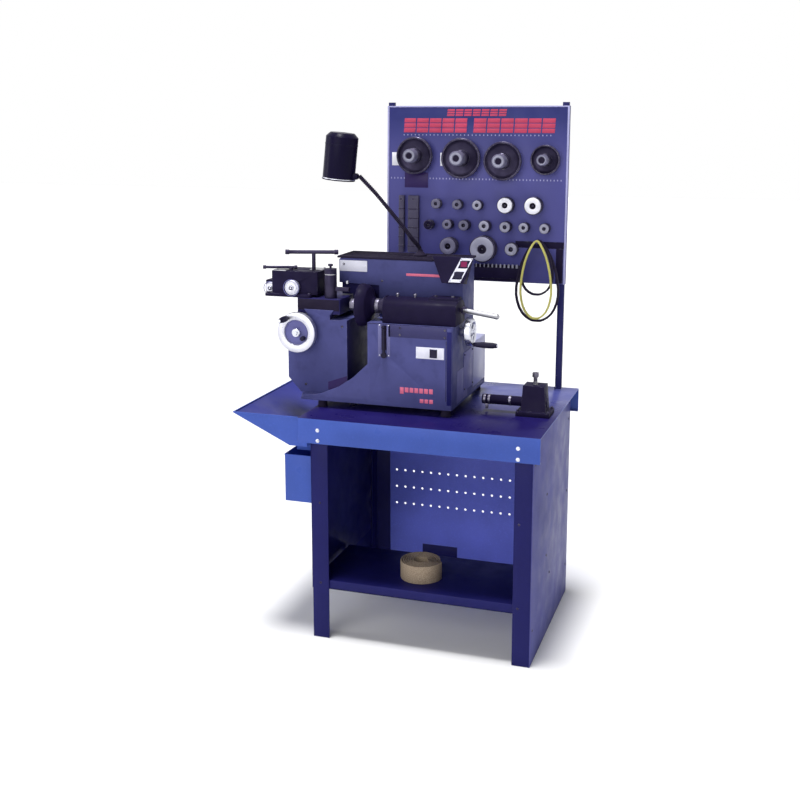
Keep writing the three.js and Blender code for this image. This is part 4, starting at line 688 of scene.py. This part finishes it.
def board_sheet():
    sheet = Batch("board_sheet", "board_paint")
    sheet.box(BOARD_LEFT, BOARD_RIGHT, BOARD_LOW, BOARD_HIGH, 3, board_place(out=0), 0.8)
    for x in (BOARD_LEFT - FLANGE, BOARD_RIGHT):
        sheet.box(x, x + FLANGE, BOARD_LOW, BOARD_HIGH, 19, board_place(out=-16), 0.8)
    sheet.done(replaces="tool_board")
    # Pale strips along the sheet's sides and top: painted highlights on its edges
    boxes(
        "board_edge_highlights", "board_edge", board_place(), 1.2, 0.4, (43, 50, BOARD_LOW, BOARD_HIGH),
        (741, 748, BOARD_LOW, BOARD_HIGH), (50, 741, 1053, BOARD_HIGH))
    # Dark bands along the board's foot and right edge, and a strip of painted shadow across its lower right
    boxes(
        "board_foot_bands_and_shadow", "dark_paint", board_place(), 1.6, 0.5, (50, 575, 399, 462), (556, 741, 530, 555),
        (712, 738, 400, 530))
    boxes("board_blank_label", "label_purple", board_place(), 1.2, 0.4, (114, 208, 748, 806))
    boxes("board_blank_tags", "pale_face", board_place(), 1.2, 0.4, (62, 90, 832, 882), (256, 284, 832, 882))


def board_marks():
    """Three rows of slanted red blocks for a line of words, and the sheet's small holes."""
    title = Batch("board_red_bars", "red_paint")
    lean, gap = 5 / 3, 5
    for x0, x1, z0, z1, count in (
            (280, 514, 1020, 1048, 7), (109, 362, 958, 1014, 5), (384, 699, 958, 1014, 6)):
        pitch, stripe = (x1 - x0) / count, (z1 - z0) / 3
        for k in range(count):
            for row in range(3):
                left, right = x0 + k * pitch + row, x0 + (k + 1) * pitch - gap + row
                low = z0 + row * stripe
                high = low + stripe - gap / 2
                title.slab(
                    [(left, low), (right, low), (right + lean, high), (left + lean, high)], 0.8,
                    board_place(), 0.3)
    title.done()
    holes = Batch("board_hole_rows", "board_edge")
    for z, x0, x1, pitch, tall in (
            (949, 110, 700, 15, 5), (784, 60, 736, 13, 6), (866, 212, 236, 12, 8), (866, 385, 400, 12, 6)):
        for k in range(int((x1 - x0) / pitch)):
            x = x0 + k * pitch
            holes.box(x - 1.6, x + 1.6, z - tall / 2, z + tall / 2, 0.5, board_place())
    holes.done()


def peg_at(batch, share_x, share_z, reach):
    batch.turn(
        [(0, 0), (0, 4), (reach - 1, 4), (reach, 3), (reach, 0)],
        board_place(board_x(share_x), board_z(share_z)), 14)


def hung_pieces():
    """Bell clamps, cones and rings on their pegs: dark bodies with lighter turned faces."""
    shells = Batch("hung_bell_shells", "black_steel")
    hubs = Batch("hung_bell_hubs", "dim_face")
    noses = Batch("hung_bell_noses", "grey_face")
    bores = Batch("hung_bores", "black_rubber")
    pegs = Batch("board_pegs", "black_steel")
    sides = Batch("hung_sides", "black_steel")
    finishes = sorted({piece[-1] for piece in CONES + RINGS})
    faces = {finish: Batch("hung_faces_" + finish, finish) for finish in finishes}
    for share_x, share_z, wide in BELLS:
        place = board_place(board_x(share_x), board_z(share_z), 7)
        r, n = wide * BELL_RADIUS, BELL_LENGTH
        shells.turn([
            (0, 20), (0, r * 0.7), (n * 0.06, r * 0.84), (n * 0.14, r * 0.96), (n * 0.2, r), (n * 0.28, r),
            (n * 0.3, r * 0.97), (n * 0.3, r * 0.91), (n * 0.24, r * 0.86), (n * 0.2, r * 0.74),
            (n * 0.19, r * 0.42), (n * 0.5, r * 0.4), (n * 0.52, r * 0.37), (n * 0.6, r * 0.37),
            (n * 0.6, 20), (0, 20)], place, 56)
        hubs.turn([
            (n * 0.56, 11), (n * 0.56, r * 0.36), (n * 0.93, r * 0.36), (n * 0.97, r * 0.33), (n * 0.97, 14),
            (n * 0.94, 11), (n * 0.56, 11)], place, 40)
        noses.turn([
            (n * 0.965, 13.5), (n * 0.965, r * 0.3), (n * 0.985, r * 0.29), (n * 0.985, 15),
            (n * 0.965, 13.5)], place, 40)
        bores.turn([(n * 0.8, 0), (n * 0.8, 11.5), (n * 0.95, 11.5), (n * 0.95, 0)], place, 24)
        peg_at(pegs, share_x, share_z, 60)
    for pieces, stand in ((CONES, 0.86), (RINGS, 0.94)):
        for share_x, share_z, wide, long, finish in pieces:
            place = board_place(board_x(share_x), board_z(share_z), 7)
            r, n = wide * BELL_RADIUS, long * PIECE_LENGTH
            base = n * stand
            peg_at(pegs, share_x, share_z, n)
            sides.turn([
                (0, 8), (0, r * 0.94), (1.5, r), (n * 0.3, r), (n * 0.34, r * 0.93), (n * 0.5, r * 0.93),
                (n * 0.54, r), (base - 1, r), (base, r * 0.97), (base, 8), (0, 8)], place, 40)
            faces[finish].turn([
                (base, r * 0.34), (base, r * 0.92), (n * 0.985, r * 0.88), (n, r * 0.82), (n, r * 0.42),
                (n * 0.985, r * 0.37), (base, r * 0.34)], place, 40)
            bores.turn([
                (base, 8.1), (base, r * 0.335), (base + 1.2, r * 0.335), (base + 1.2, 8.1), (base, 8.1)],
                place, 28)
    peg_at(pegs, 0.866, 0.24, 79)
    for batch in (shells, hubs, noses, pegs, sides, *faces.values(), bores):
        batch.done()


def hung_bars():
    """Two plain grooved bars and the rack of bits."""
    bars = Batch("hung_bars", "bronze_dark")
    dark = Batch("hung_bar_grooves", "black_steel")
    z0, z1 = board_z(0.152), board_z(0.485)
    for share, width in ((0.084, 21), (0.153, 43)):
        x = board_x(share)
        bars.box(x - width / 2, x + width / 2, z0, z1, 14, board_place(), 2)
        for k in range(5):
            z = z0 + 22 + k * (z1 - z0 - 40) / 5
            dark.box(x - width / 2 - 0.4, x + width / 2 + 0.4, z, z + 5, 14.8, board_place(), 0.6)
        dark.turn([(13, 0), (13, 5), (16, 5), (16, 0)], board_place(x, z1 - 14), 18)
    bars.done()
    dark.done()
    x0, x1, top = board_x(0.502), board_x(0.757), board_z(0.104)
    boxes("bit_rack", "dark_paint", board_place(), 16, 1.5, (x0, x1, board_z(0.021), top - 14))
    bits = Batch("rack_bits", "grey_face")
    for k in range(11):
        x = x0 + 10 + k * (x1 - x0 - 20) / 10
        radius = 2 + 0.25 * k
        bits.turn(
            [(0, 0), (0, radius), (14, radius), (16, radius * 0.6), (16, 0)],
            facing(BOARD, (x, -12, top - 16), "up"), 10)
    bits.done()


board_sheet()
board_marks()
hung_pieces()
hung_bars()


# Cross feed handwheel: bright rim, painted recessed web, hub, crank pin and long shaft

CROSS_WHEEL_X, CROSS_WHEEL_Z = -10, 268
CROSS_WHEEL_RADIUS = 72
CRANK_PIN_REACH = 0.84 * CROSS_WHEEL_RADIUS
CRANK_PIN_ANGLE = math.radians(122)


def cross_wheel():
    place = facing(LATHE, (CROSS_WHEEL_X, 10, CROSS_WHEEL_Z), "front")
    rim = Batch("cross_wheel_rim", "aluminium_dial", "cross_wheel")
    rim.turn([
        (0, 43), (0, 68), (1.2, 70.8), (4, CROSS_WHEEL_RADIUS), (20, CROSS_WHEEL_RADIUS), (23.4, 70.6),
        (25, 67), (25, 49.5), (23.6, 46), (21, 44), (0, 43)], place, 80)
    rim.done(replaces="cross_handwheel")
    web = Batch("cross_wheel_web", "slate_light", "cross_wheel")
    web.turn([(2, 0), (2, 44), (13, 44), (12, 40), (11, 26), (12, 18), (12, 0)], place, 64)
    web.done()
    hub = Batch("cross_wheel_hub", "bright_steel", "cross_wheel")
    hub.turn([(10, 0), (10, 15), (25.6, 15), (27, 13.6), (27, 0)], place, 36)
    hub.turn([(27, 0), (27, 9), (31, 9), (32, 7.8), (32, 0)], place, 6)
    pin = facing(LATHE, (
        CROSS_WHEEL_X + CRANK_PIN_REACH * math.cos(CRANK_PIN_ANGLE), 10,
        CROSS_WHEEL_Z + CRANK_PIN_REACH * math.sin(CRANK_PIN_ANGLE)), "front")
    hub.turn([(20, 0), (20, 4), (96, 4), (97, 3), (97, 0)], pin, 16)
    hub.turn([(95.8, 0), (95.8, 7), (98, 6.2), (98.8, 0)], pin, 18)
    thread = [(0, 0), (0, 9)]
    for along in range(60, 300, 4):
        thread += [(along, 9), (along + 1, 7.8), (along + 2, 7.8), (along + 3, 9)]
    thread += [(317, 9), (317, 0)]
    hub.turn(thread, facing(LATHE, (CROSS_WHEEL_X, 12, CROSS_WHEEL_Z), "back"), 24)
    hub.done()
    dark = Batch("cross_wheel_ticks", "black_plastic", "cross_wheel")
    dark.ticks(50, 0.35, place, 24.8, (51, 55.2), (51, 53.4))
    dark.turn(
        [(11, 0), (11, 8), (28, 8), (31, 6.6), (32, 0)], place @ Matrix.Translation((24, -20, 0)), 24)
    dark.done()


cross_wheel()


# Twin cutter: white dial faces with dark centres, graduations, bar caps, screws and bezels

def dial_faces():
    for side, x, y, z, radius in (("left", -137, 57.5, 412, 21), ("right", -44, 32, 420, 27)):
        body = "dial_" + side
        place = facing(LATHE, (x, y, z), "front")
        face = Batch("dial_face_" + side, "white_paint", body)
        face.turn([
            (0.1, radius * 0.74), (0.1, radius * 0.96), (0.9, radius * 0.93), (0.9, radius * 0.5),
            (-3.9, radius * 0.48), (-3.9, 8.6), (-3.2, 8.6), (-3.2, radius * 0.44), (0.1, radius * 0.46),
            (0.1, radius * 0.74)], place, 48)
        face.done()
        dark = Batch("dial_ticks_" + side, "black_plastic", body)
        outer = radius * 0.92
        dark.ticks(40, 0.3, place, 0.8, (radius * 0.77, outer), (radius * 0.84, outer))
        dark.done()
        cap = Batch("bar_cap_" + side, "black_steel", "bar_" + side)
        cap.turn([(3, 0), (3, 7.6), (8.4, 7.6), (9.4, 6.6), (9.4, 3), (6, 3), (6, 0)], place, 24)
        cap.done()


def cutter_details():
    screws = Batch("cutter_screws", "black_steel", "slide")
    for x, y in ((-139, 42), (19, 42), (-139, 180), (19, 180)):
        socket_head(screws, LATHE, (x, y, 396.7), "up", 5, 5)
    for x in (-110, 34):
        for y in (62, 156):
            socket_head(screws, LATHE, (x, y, CUTTER_TOP), "up", 4.5, 4)
    for k in range(4):
        socket_head(screws, LATHE, (-21, 66 + 50 * k, 352), "left", 4.5, 5)
    screws.done()
    boxes(
        "cutter_top_plate", "grey_steel", facing(LATHE, (0, 0, CUTTER_TOP), "up"), 2.2, 0.6,
        (-124, -74, 53, 108), (-6, 44, 110, 166), body="slide")
    wiper = Batch("way_wipers", "black_rubber", "slide")
    wiper.box(-18, 137, 345, 384, 2.4, facing(LATHE, (0, 30, 0), "front"), 0.6)
    wiper.box(-137, 18, 334, 384, 2.4, facing(LATHE, (0, 250, 0), "back"), 0.6)
    wiper.done()
    bezel = Batch("cutter_bezels", "slate_light", "slide")
    for x, y, z, r in ((-137, 52.4, 412, 22.2), (-44, 29.6, 420, 28.2)):
        place = facing(LATHE, (x, y, z), "front")
        bezel.turn([(0, r), (0, r + 2.4), (1.6, r + 2), (1.8, r + 0.6), (0, r)], place, 48)
    bezel.done()


dial_faces()
cutter_details()


# Headstock, cabinet and column: plates, slot, plain red bars and screws

def cabinet_details():
    front = facing(LATHE, (0, 0, 0), "front")
    right = facing(LATHE, (CABINET_RIGHT, 0, 0), "right")
    headstock = facing(LATHE, (0, HEADSTOCK_FRONT, 0), "front")
    # A dark strip down the cabinet's rounded right corner: painted shade
    boxes("cabinet_corner_shadow", "bench_navy", front, 0.5, 0.2, (540, 556, 44, 300))
    boxes("cabinet_side_cover", "slate_light", right, 0.9, 0.4, (65, 204, 35, 149))
    # A thin dark wedge on the column's front where it meets the base's sweep: painted shadow
    shadow_wedge = Batch("column_foot_notch", "label_purple")
    shadow_wedge.slab(
        [(95, 63), (114, 58), (167, 99), (167, 116), (95, 90)], 0.2,
        facing(LATHE, (0, COLUMN_FRONT, 0), "front"))
    shadow_wedge.done()
    white = Batch("white_plates", "white_paint")
    white.box(103, 206, 475, 514, 1.6, headstock, 0.5)
    for x0, x1, z0, z1 in (
            (430, 478.6, 203, 243), (505.6, 530, 203, 243), (478.6, 505.6, 203, 206.8),
            (478.6, 505.6, 237.2, 243)):
        white.box(x0, x1, z0, z1, 1.8, front, 0.3)
    white.done()
    rose = Batch("red_bars", "rose_paint")
    rose.box(352, 476, 467, 476, 0.8, headstock, 0.3)
    for k in range(7):
        x = 372 + 17.5 * k
        rose.box(x, x + 13.5, 80 if k else 74, 97, 0.8, front, 0.3)
    for k in range(3):
        rose.box(444 + 17 * k, 457 + 17 * k, 46, 60, 0.8, front, 0.3)
    rose.done()
    boxes("cabinet_cover", "corner_shade", front, 0.2, 0.05, (330, 540, 272, 313))
    boxes("lever_slot_plate", "slot_grey", front, 0.2, 0.05, (292, 304, 200, 314), (324, 336, 200, 314))
    boxes("lever_slot", "black_rubber", front, 0.15, 0, (305, 323, 224, 310))
    boxes("cabinet_side_plate", "slate_light", right, 2, 0.8, (150, 276, 60, 200))
    seam = Batch("cabinet_seams", "black_rubber")
    seam.box(536, 538, 58, 268, 0.4, front)
    seam.box(252, 554, 314.4, 316.1, 0.5, facing(LATHE, (0, 0.2, 0), "front"))
    seam.done()
    screws = Batch("cabinet_screws", "black_steel")
    for x, z in ((372, 305), (532, 305), (372, 280), (532, 280)):
        socket_head(screws, LATHE, (x, -0.2, z), "front", 3.6, 2.6)
    for y, z in ((158, 192), (268, 192), (158, 68), (268, 68)):
        socket_head(screws, LATHE, (CABINET_RIGHT + 2, y, z), "right", 3.6, 2.6)
    for x, z in ((118, 500), (545, 500), (545, 330), (262, 330), (262, 445)):
        socket_head(screws, LATHE, (x, HEADSTOCK_FRONT, z), "front", 4.2, 3)
    for x, z in ((-30, 292), (150, 292), (10, 76), (150, 76)):
        socket_head(screws, LATHE, (x, COLUMN_FRONT, z), "front", 4.5, 3.4)
    screws.done()
    bright = Batch("bright_screws", "bright_steel")
    for x in (298, 330):
        for z in (205, 310.6):
            pan_head(bright, LATHE, (x, -0.2, z), "front", 2.2, 1.4)
    for x in (434, 526):
        for z in (207, 239):
            pan_head(bright, LATHE, (x, -1.8, z), "front", 2.2, 1.2)
    for x in (112, 201):
        pan_head(bright, LATHE, (x, 130.4, 494), "front", 2.2, 1.2)
    bright.done()


POD_RUN, POD_RISE = 42, 87


def pod_x(share):
    """The middle of the pod's face, which leans to the right as it rises."""
    return 539.6 + 38.1 * share


def pod_details():
    """A pale frame that leans with the pod's face, two rocker caps and their screws."""
    slope, length = math.atan2(POD_RUN, POD_RISE), math.hypot(POD_RUN, POD_RISE)
    foot = Matrix.Translation((0, HEADSTOCK_FRONT - 0.3 - 50, 455))
    tilt = LATHE @ foot @ Matrix.Rotation(-slope, 4, "X")
    place = tilt @ facing(Matrix.Identity(4), (0, 0, 0), "front")
    plate = Batch("pod_plate", "white_paint")
    for left, right, low, high in (
            (-22, -15.5, 0.04, 0.96), (15.5, 20, 0.04, 0.96), (-15.5, 15.5, 0.04, 0.15),
            (-15.5, 15.5, 0.45, 0.57), (-15.5, 15.5, 0.87, 0.96)):
        plate.slab([
            (pod_x(low) + left, low * length), (pod_x(low) + right, low * length),
            (pod_x(high) + right, high * length), (pod_x(high) + left, high * length)], 1.2, place, 0.3)
    plate.done()
    for level, share, x, material in (
            ("lower", 0.3, 551, "black_plastic"), ("upper", 0.72, 567, "red_plastic")):
        cap = Batch("rocker_cap_" + level, material, level + "_rocker")
        middle = share * length
        lifted = place @ Matrix.Translation((0, 0, 2.9))
        cap.box(x - 10.6, x + 10.6, middle - 10, middle + 10, 0.9, lifted, 0.4)
        cap.done()
    screws = Batch("pod_screws", "black_steel")
    for share in (0.09, 0.92):
        for side in (-18.6, 17.6):
            pan_head(screws, place, (pod_x(share) + side, share * length, 1.2), "up", 1.6, 1)
    screws.done()


cabinet_details()
pod_details()


# Spindle line: a dark plate of painted shade in the headstock's recess, arbor spacer, carrier flange and
# screws, oil cups and washers

def on_spindle(x, direction):
    return facing(LATHE, (x, SPINDLE_Y, SPINDLE_Z), direction)


def spindle_details():
    # A dark plate set back in the recess under the headstock: painted shade
    boxes(
        "headstock_recess_shade", "slate_dark", facing(LATHE, (0, 153, 0), "front"), 3, 0.5,
        (104, 302, 390, 433.4), (146, 302, 338, 392))
    spacer = Batch("arbor_spacers", "black_steel", "spindle")
    spacer.turn(
        [(0.4, 12.8), (0.4, 24), (1, 25), (9, 25), (9.6, 24), (9.6, 12.8), (0.4, 12.8)],
        on_spindle(262.3, "right"), 40)
    spacer.done()
    flange = Batch("carrier_flange", "dark_paint")
    flange.turn(
        [(0, 31.2), (0, 38.6), (5, 38.6), (6.4, 37.4), (6.4, 31.2), (0, 31.2)], on_spindle(303, "left"), 56)
    flange.done()
    screws = Batch("carrier_screws", "black_steel")
    for k in range(6):
        angle = math.tau * (k + 0.5) / 6
        y, z = SPINDLE_Y + 34.6 * math.cos(angle), SPINDLE_Z + 34.6 * math.sin(angle)
        socket_head(screws, LATHE, (296.6, y, z), "left", 2.4, 2)
    for x in (478, 540):
        hex_head(screws, LATHE, (x, 72, 408), "up", 6, 5)
    screws.done()
    cups = Batch("oil_cups", "dim_steel")
    for x in (340, 404):
        cups.turn(
            [(0, 0), (0, 4), (5, 4), (6, 6), (11, 6), (13, 4), (13.6, 0)],
            facing(LATHE, (x, 72, 401.6), "up"), 20)
    cups.done()
    washer = Batch("arbor_washer", "dim_steel", "spindle")
    washer.turn(
        [(0, 13.2), (0, 23), (2.4, 23), (3, 22.4), (3, 13.2), (0, 13.2)], on_spindle(183.3, "right"), 36)
    washer.turn([(0, 0), (0, 9), (1.6, 8), (1.6, 0)], on_spindle(166, "left"), 24)
    washer.done()


spindle_details()


# Lamp: ribbed gooseneck on its swivel, shade rims and bright trim

NECK_X, LAMP_Y = 373.02, 230
SHADE_X, SHADE_Z, SHADE_RADIUS = 62, 794, 59
# The neck's way from its foot to the shade, as shares of the run and of the rise
NECK_SHARES = ((0, 0), (-0.02, 0.09), (-0.12, 0.18), (-0.27, 0.33), (-0.47, 0.52), (-0.73, 0.76), (-1, 0.98))


def catmull(points, steps):
    """A smooth curve through the points."""
    made = []
    for k in range(len(points) - 1):
        p0, p1, p2, p3 = (points[max(0, min(len(points) - 1, k + n))] for n in (-1, 0, 1, 2))
        for n in range(steps):
            t = n / steps
            made.append(0.5 * (
                2 * p1 + (p2 - p0) * t + (2 * p0 - 5 * p1 + 4 * p2 - p3) * t * t
                + (3 * p1 - p0 - 3 * p2 + p3) * t * t * t))
    return made + [points[-1]]


def lamp_details():
    run, rise = NECK_X - (SHADE_X + SHADE_RADIUS + 12 * 1.8), SHADE_Z + 12 - TRAY_TOP
    points = [Vector((NECK_X + a * run, LAMP_Y, TRAY_TOP + 7 + u * rise)) for a, u in NECK_SHARES]
    curve = catmull(points, 26)
    neck = Batch("lamp_neck", "black_rubber", "lamp_arm")
    neck.sweep(curve, [8.4 if k % 2 else 5.8 for k in range(len(curve))], LATHE)
    neck.turn([
        (0, 0), (0, 24), (5, 24), (7, 23), (9, 17), (14, 13), (16, 10), (22, 9), (22, 0)],
        facing(LATHE, (NECK_X, LAMP_Y, TRAY_TOP + 0.3), "up"), 40)
    neck.done(degrees=60, replaces="lamp_gooseneck")
    pivot = LATHE @ Matrix.Translation((SHADE_X, LAMP_Y, SHADE_Z)) @ Matrix.Rotation(math.radians(6), 4, "Y")
    rims = Batch("shade_rims", "lamp_shell", "shade")
    rims.turn([(0, 57), (-1.6, 58.4), (-1.6, 60), (0.6, 61), (2.6, 60), (2.6, 58.8), (0, 57)], pivot, 56)
    rims.turn([(124, 58.9), (124, 59.8), (128, 59.8), (128, 58.9), (124, 58.9)], pivot, 56)
    rims.done()
    trim = Batch("shade_trim", "bright_steel", "shade")
    trim.turn([(2.8, 58.9), (2.8, 59.7), (5.2, 59.7), (5.2, 58.9), (2.8, 58.9)], pivot, 56)
    trim.done()


lamp_details()


# Boring bar holder, feed wheel, tray ribs, louvres and tool post collar

BAR_Y, BAR_Z = 275, 848.3
FEED_WHEEL = (606, 100, 286)
POST_X, POST_Y = 94, 62


def small_details():
    dark = Batch("holder_screws", "black_steel")
    for x in (677, 781):
        for y in (236, 314):
            socket_head(dark, BENCH, (x, y, 822.3), "up", 5, 6)
    dark.done()
    bar = Batch("bar_rings", "dim_steel")
    place = facing(BENCH, (542, BAR_Y, BAR_Z), "right")
    for along in (6, 22, 96):
        bar.turn([(along, 16.8), (along, 18), (along + 7, 18), (along + 7, 16.8), (along, 16.8)], place, 40)
    bar.box(-6, 6, -34, -8, 8, facing(BENCH, (554, BAR_Y, BAR_Z), "right"), 0.6)
    bar.done()
    knurl = Batch("holder_screw_knurl", "grey_steel", "holder_screw")
    place = facing(BENCH, (729, BAR_Y, 894.6), "up")
    for k in range(6):
        down = 2.4 * k
        knurl.turn([(30 - down, 6.9), (29.4 - down, 7.5), (28.8 - down, 6.9), (30 - down, 6.9)], place, 20)
    knurl.done()
    wheel = Batch("feed_wheel_nut", "bright_steel", "feed_wheel")
    x, y, z = FEED_WHEEL
    wheel.turn([(0, 0), (0, 9), (5, 9), (6, 8), (6, 0)], facing(LATHE, FEED_WHEEL, "right"), 6)
    wheel.turn([(84.4, 0), (84.4, 7), (87, 6), (87.6, 0)], facing(LATHE, (x, y, z - 43.1), "right"), 18)
    wheel.done()
    ribs = Batch("tray_ribs", "black_rubber")
    for k in range(9):
        y = 142 + 17 * k
        # The middle ribs stop short of the lamp's foot
        for x0, x1 in ((104, 340), (406, 552)) if 200 < y < 262 else ((104, 552),):
            ribs.box(x0, x1, y, y + 4, 1.2, facing(LATHE, (0, 0, TRAY_TOP), "up"), 0.4)
    ribs.done()
    boxes(
        "rear_cover_louvres", "dark_paint", facing(LATHE, (0, 464.3, 0), "back"), 0.6, 0,
        *((-520, -368, 80 + 18 * k, 84 + 18 * k) for k in range(6)))
    post = Batch("post_collar", "grey_steel", "post")
    post.turn(
        [(0, 21.9), (0, 22.6), (3, 22.6), (3, 21.9), (0, 21.9)],
        facing(LATHE, (POST_X, POST_Y, 470), "up"), 40)
    post.box(60, 67, -5, 5, 9.8, facing(LATHE, (POST_X, POST_Y, 440.4), "up"), 0.5)
    post.done()


small_details()


# Floor and light

FLOOR_SIZE, FLOOR_GLOW = 22.0, 0.06
AMBIENT = 0.2


def make_floor():
    bm = bmesh.new()
    bmesh.ops.create_grid(bm, x_segments=2, y_segments=2, size=FLOOR_SIZE)
    mesh = bpy.data.meshes.new("floor")
    bm.to_mesh(mesh)
    bm.free()
    s = Shade("floor", roughness=0.95)
    s.colour(s.blend(s.patches(2.0), (0.86, 0.86, 0.86), (0.88, 0.88, 0.88)))
    s.shine(0.05)
    s.put("Emission Color", (1, 1, 1, 1))
    s.put("Emission Strength", FLOOR_GLOW)
    mesh.materials.append(MATERIALS["floor"])
    floor = add("floor", mesh)


def make_light(kind, name, direction, power):
    data = bpy.data.lights.new(name, kind)
    data.energy = power
    light = add(name, data)
    light.rotation_euler = Vector(direction).to_track_quat("-Z", "Y").to_euler()
    return light


def area_light(name, location, target, size, power):
    light = make_light("AREA", name, Vector(target) - Vector(location), power)
    light.location = location
    light.data.shape = "RECTANGLE"
    light.data.size, light.data.size_y = size


def sun_light(name, direction, strength, spread):
    make_light("SUN", name, direction, strength).data.angle = math.radians(spread)


def make_world():
    """Dim light all round, with a white background for the camera and in reflections and glass."""
    world = bpy.data.worlds.new("studio")
    bpy.context.scene.world = world
    world.use_nodes = True
    nodes, links = world.node_tree.nodes, world.node_tree.links
    background = nodes["Background"]
    path = nodes.new("ShaderNodeLightPath")
    seen = path.outputs["Is Camera Ray"]
    for other in ("Is Glossy Ray", "Is Transmission Ray"):
        either = nodes.new("ShaderNodeMath")
        either.operation = "MAXIMUM"
        links.new(seen, either.inputs[0])
        links.new(path.outputs[other], either.inputs[1])
        seen = either.outputs[0]
    mix = nodes.new("ShaderNodeMix")
    mix.data_type = "RGBA"
    mix.inputs["A"].default_value = (AMBIENT, AMBIENT, AMBIENT * 1.02, 1)
    mix.inputs["B"].default_value = (1, 1, 1, 1)
    links.new(seen, mix.inputs["Factor"])
    links.new(mix.outputs["Result"], background.inputs["Color"])
    background.inputs["Strength"].default_value = 1.0


make_floor()
make_world()
sun_light("above", (0.08, 0.06, -1), 3.3, 14)
sun_light("front", (0.2, 0.93, -0.3), 1.42, 50)
area_light("side", (3.4, -1.6, 1.4), (0.3, 0, 0.8), (1.6, 1.8), 1.5)
area_light("edge", (-3.0, -0.6, 1.7), (-0.2, 0, 1.2), (0.5, 1.6), 14)
bpy.context.scene.view_settings.view_transform = "Standard"
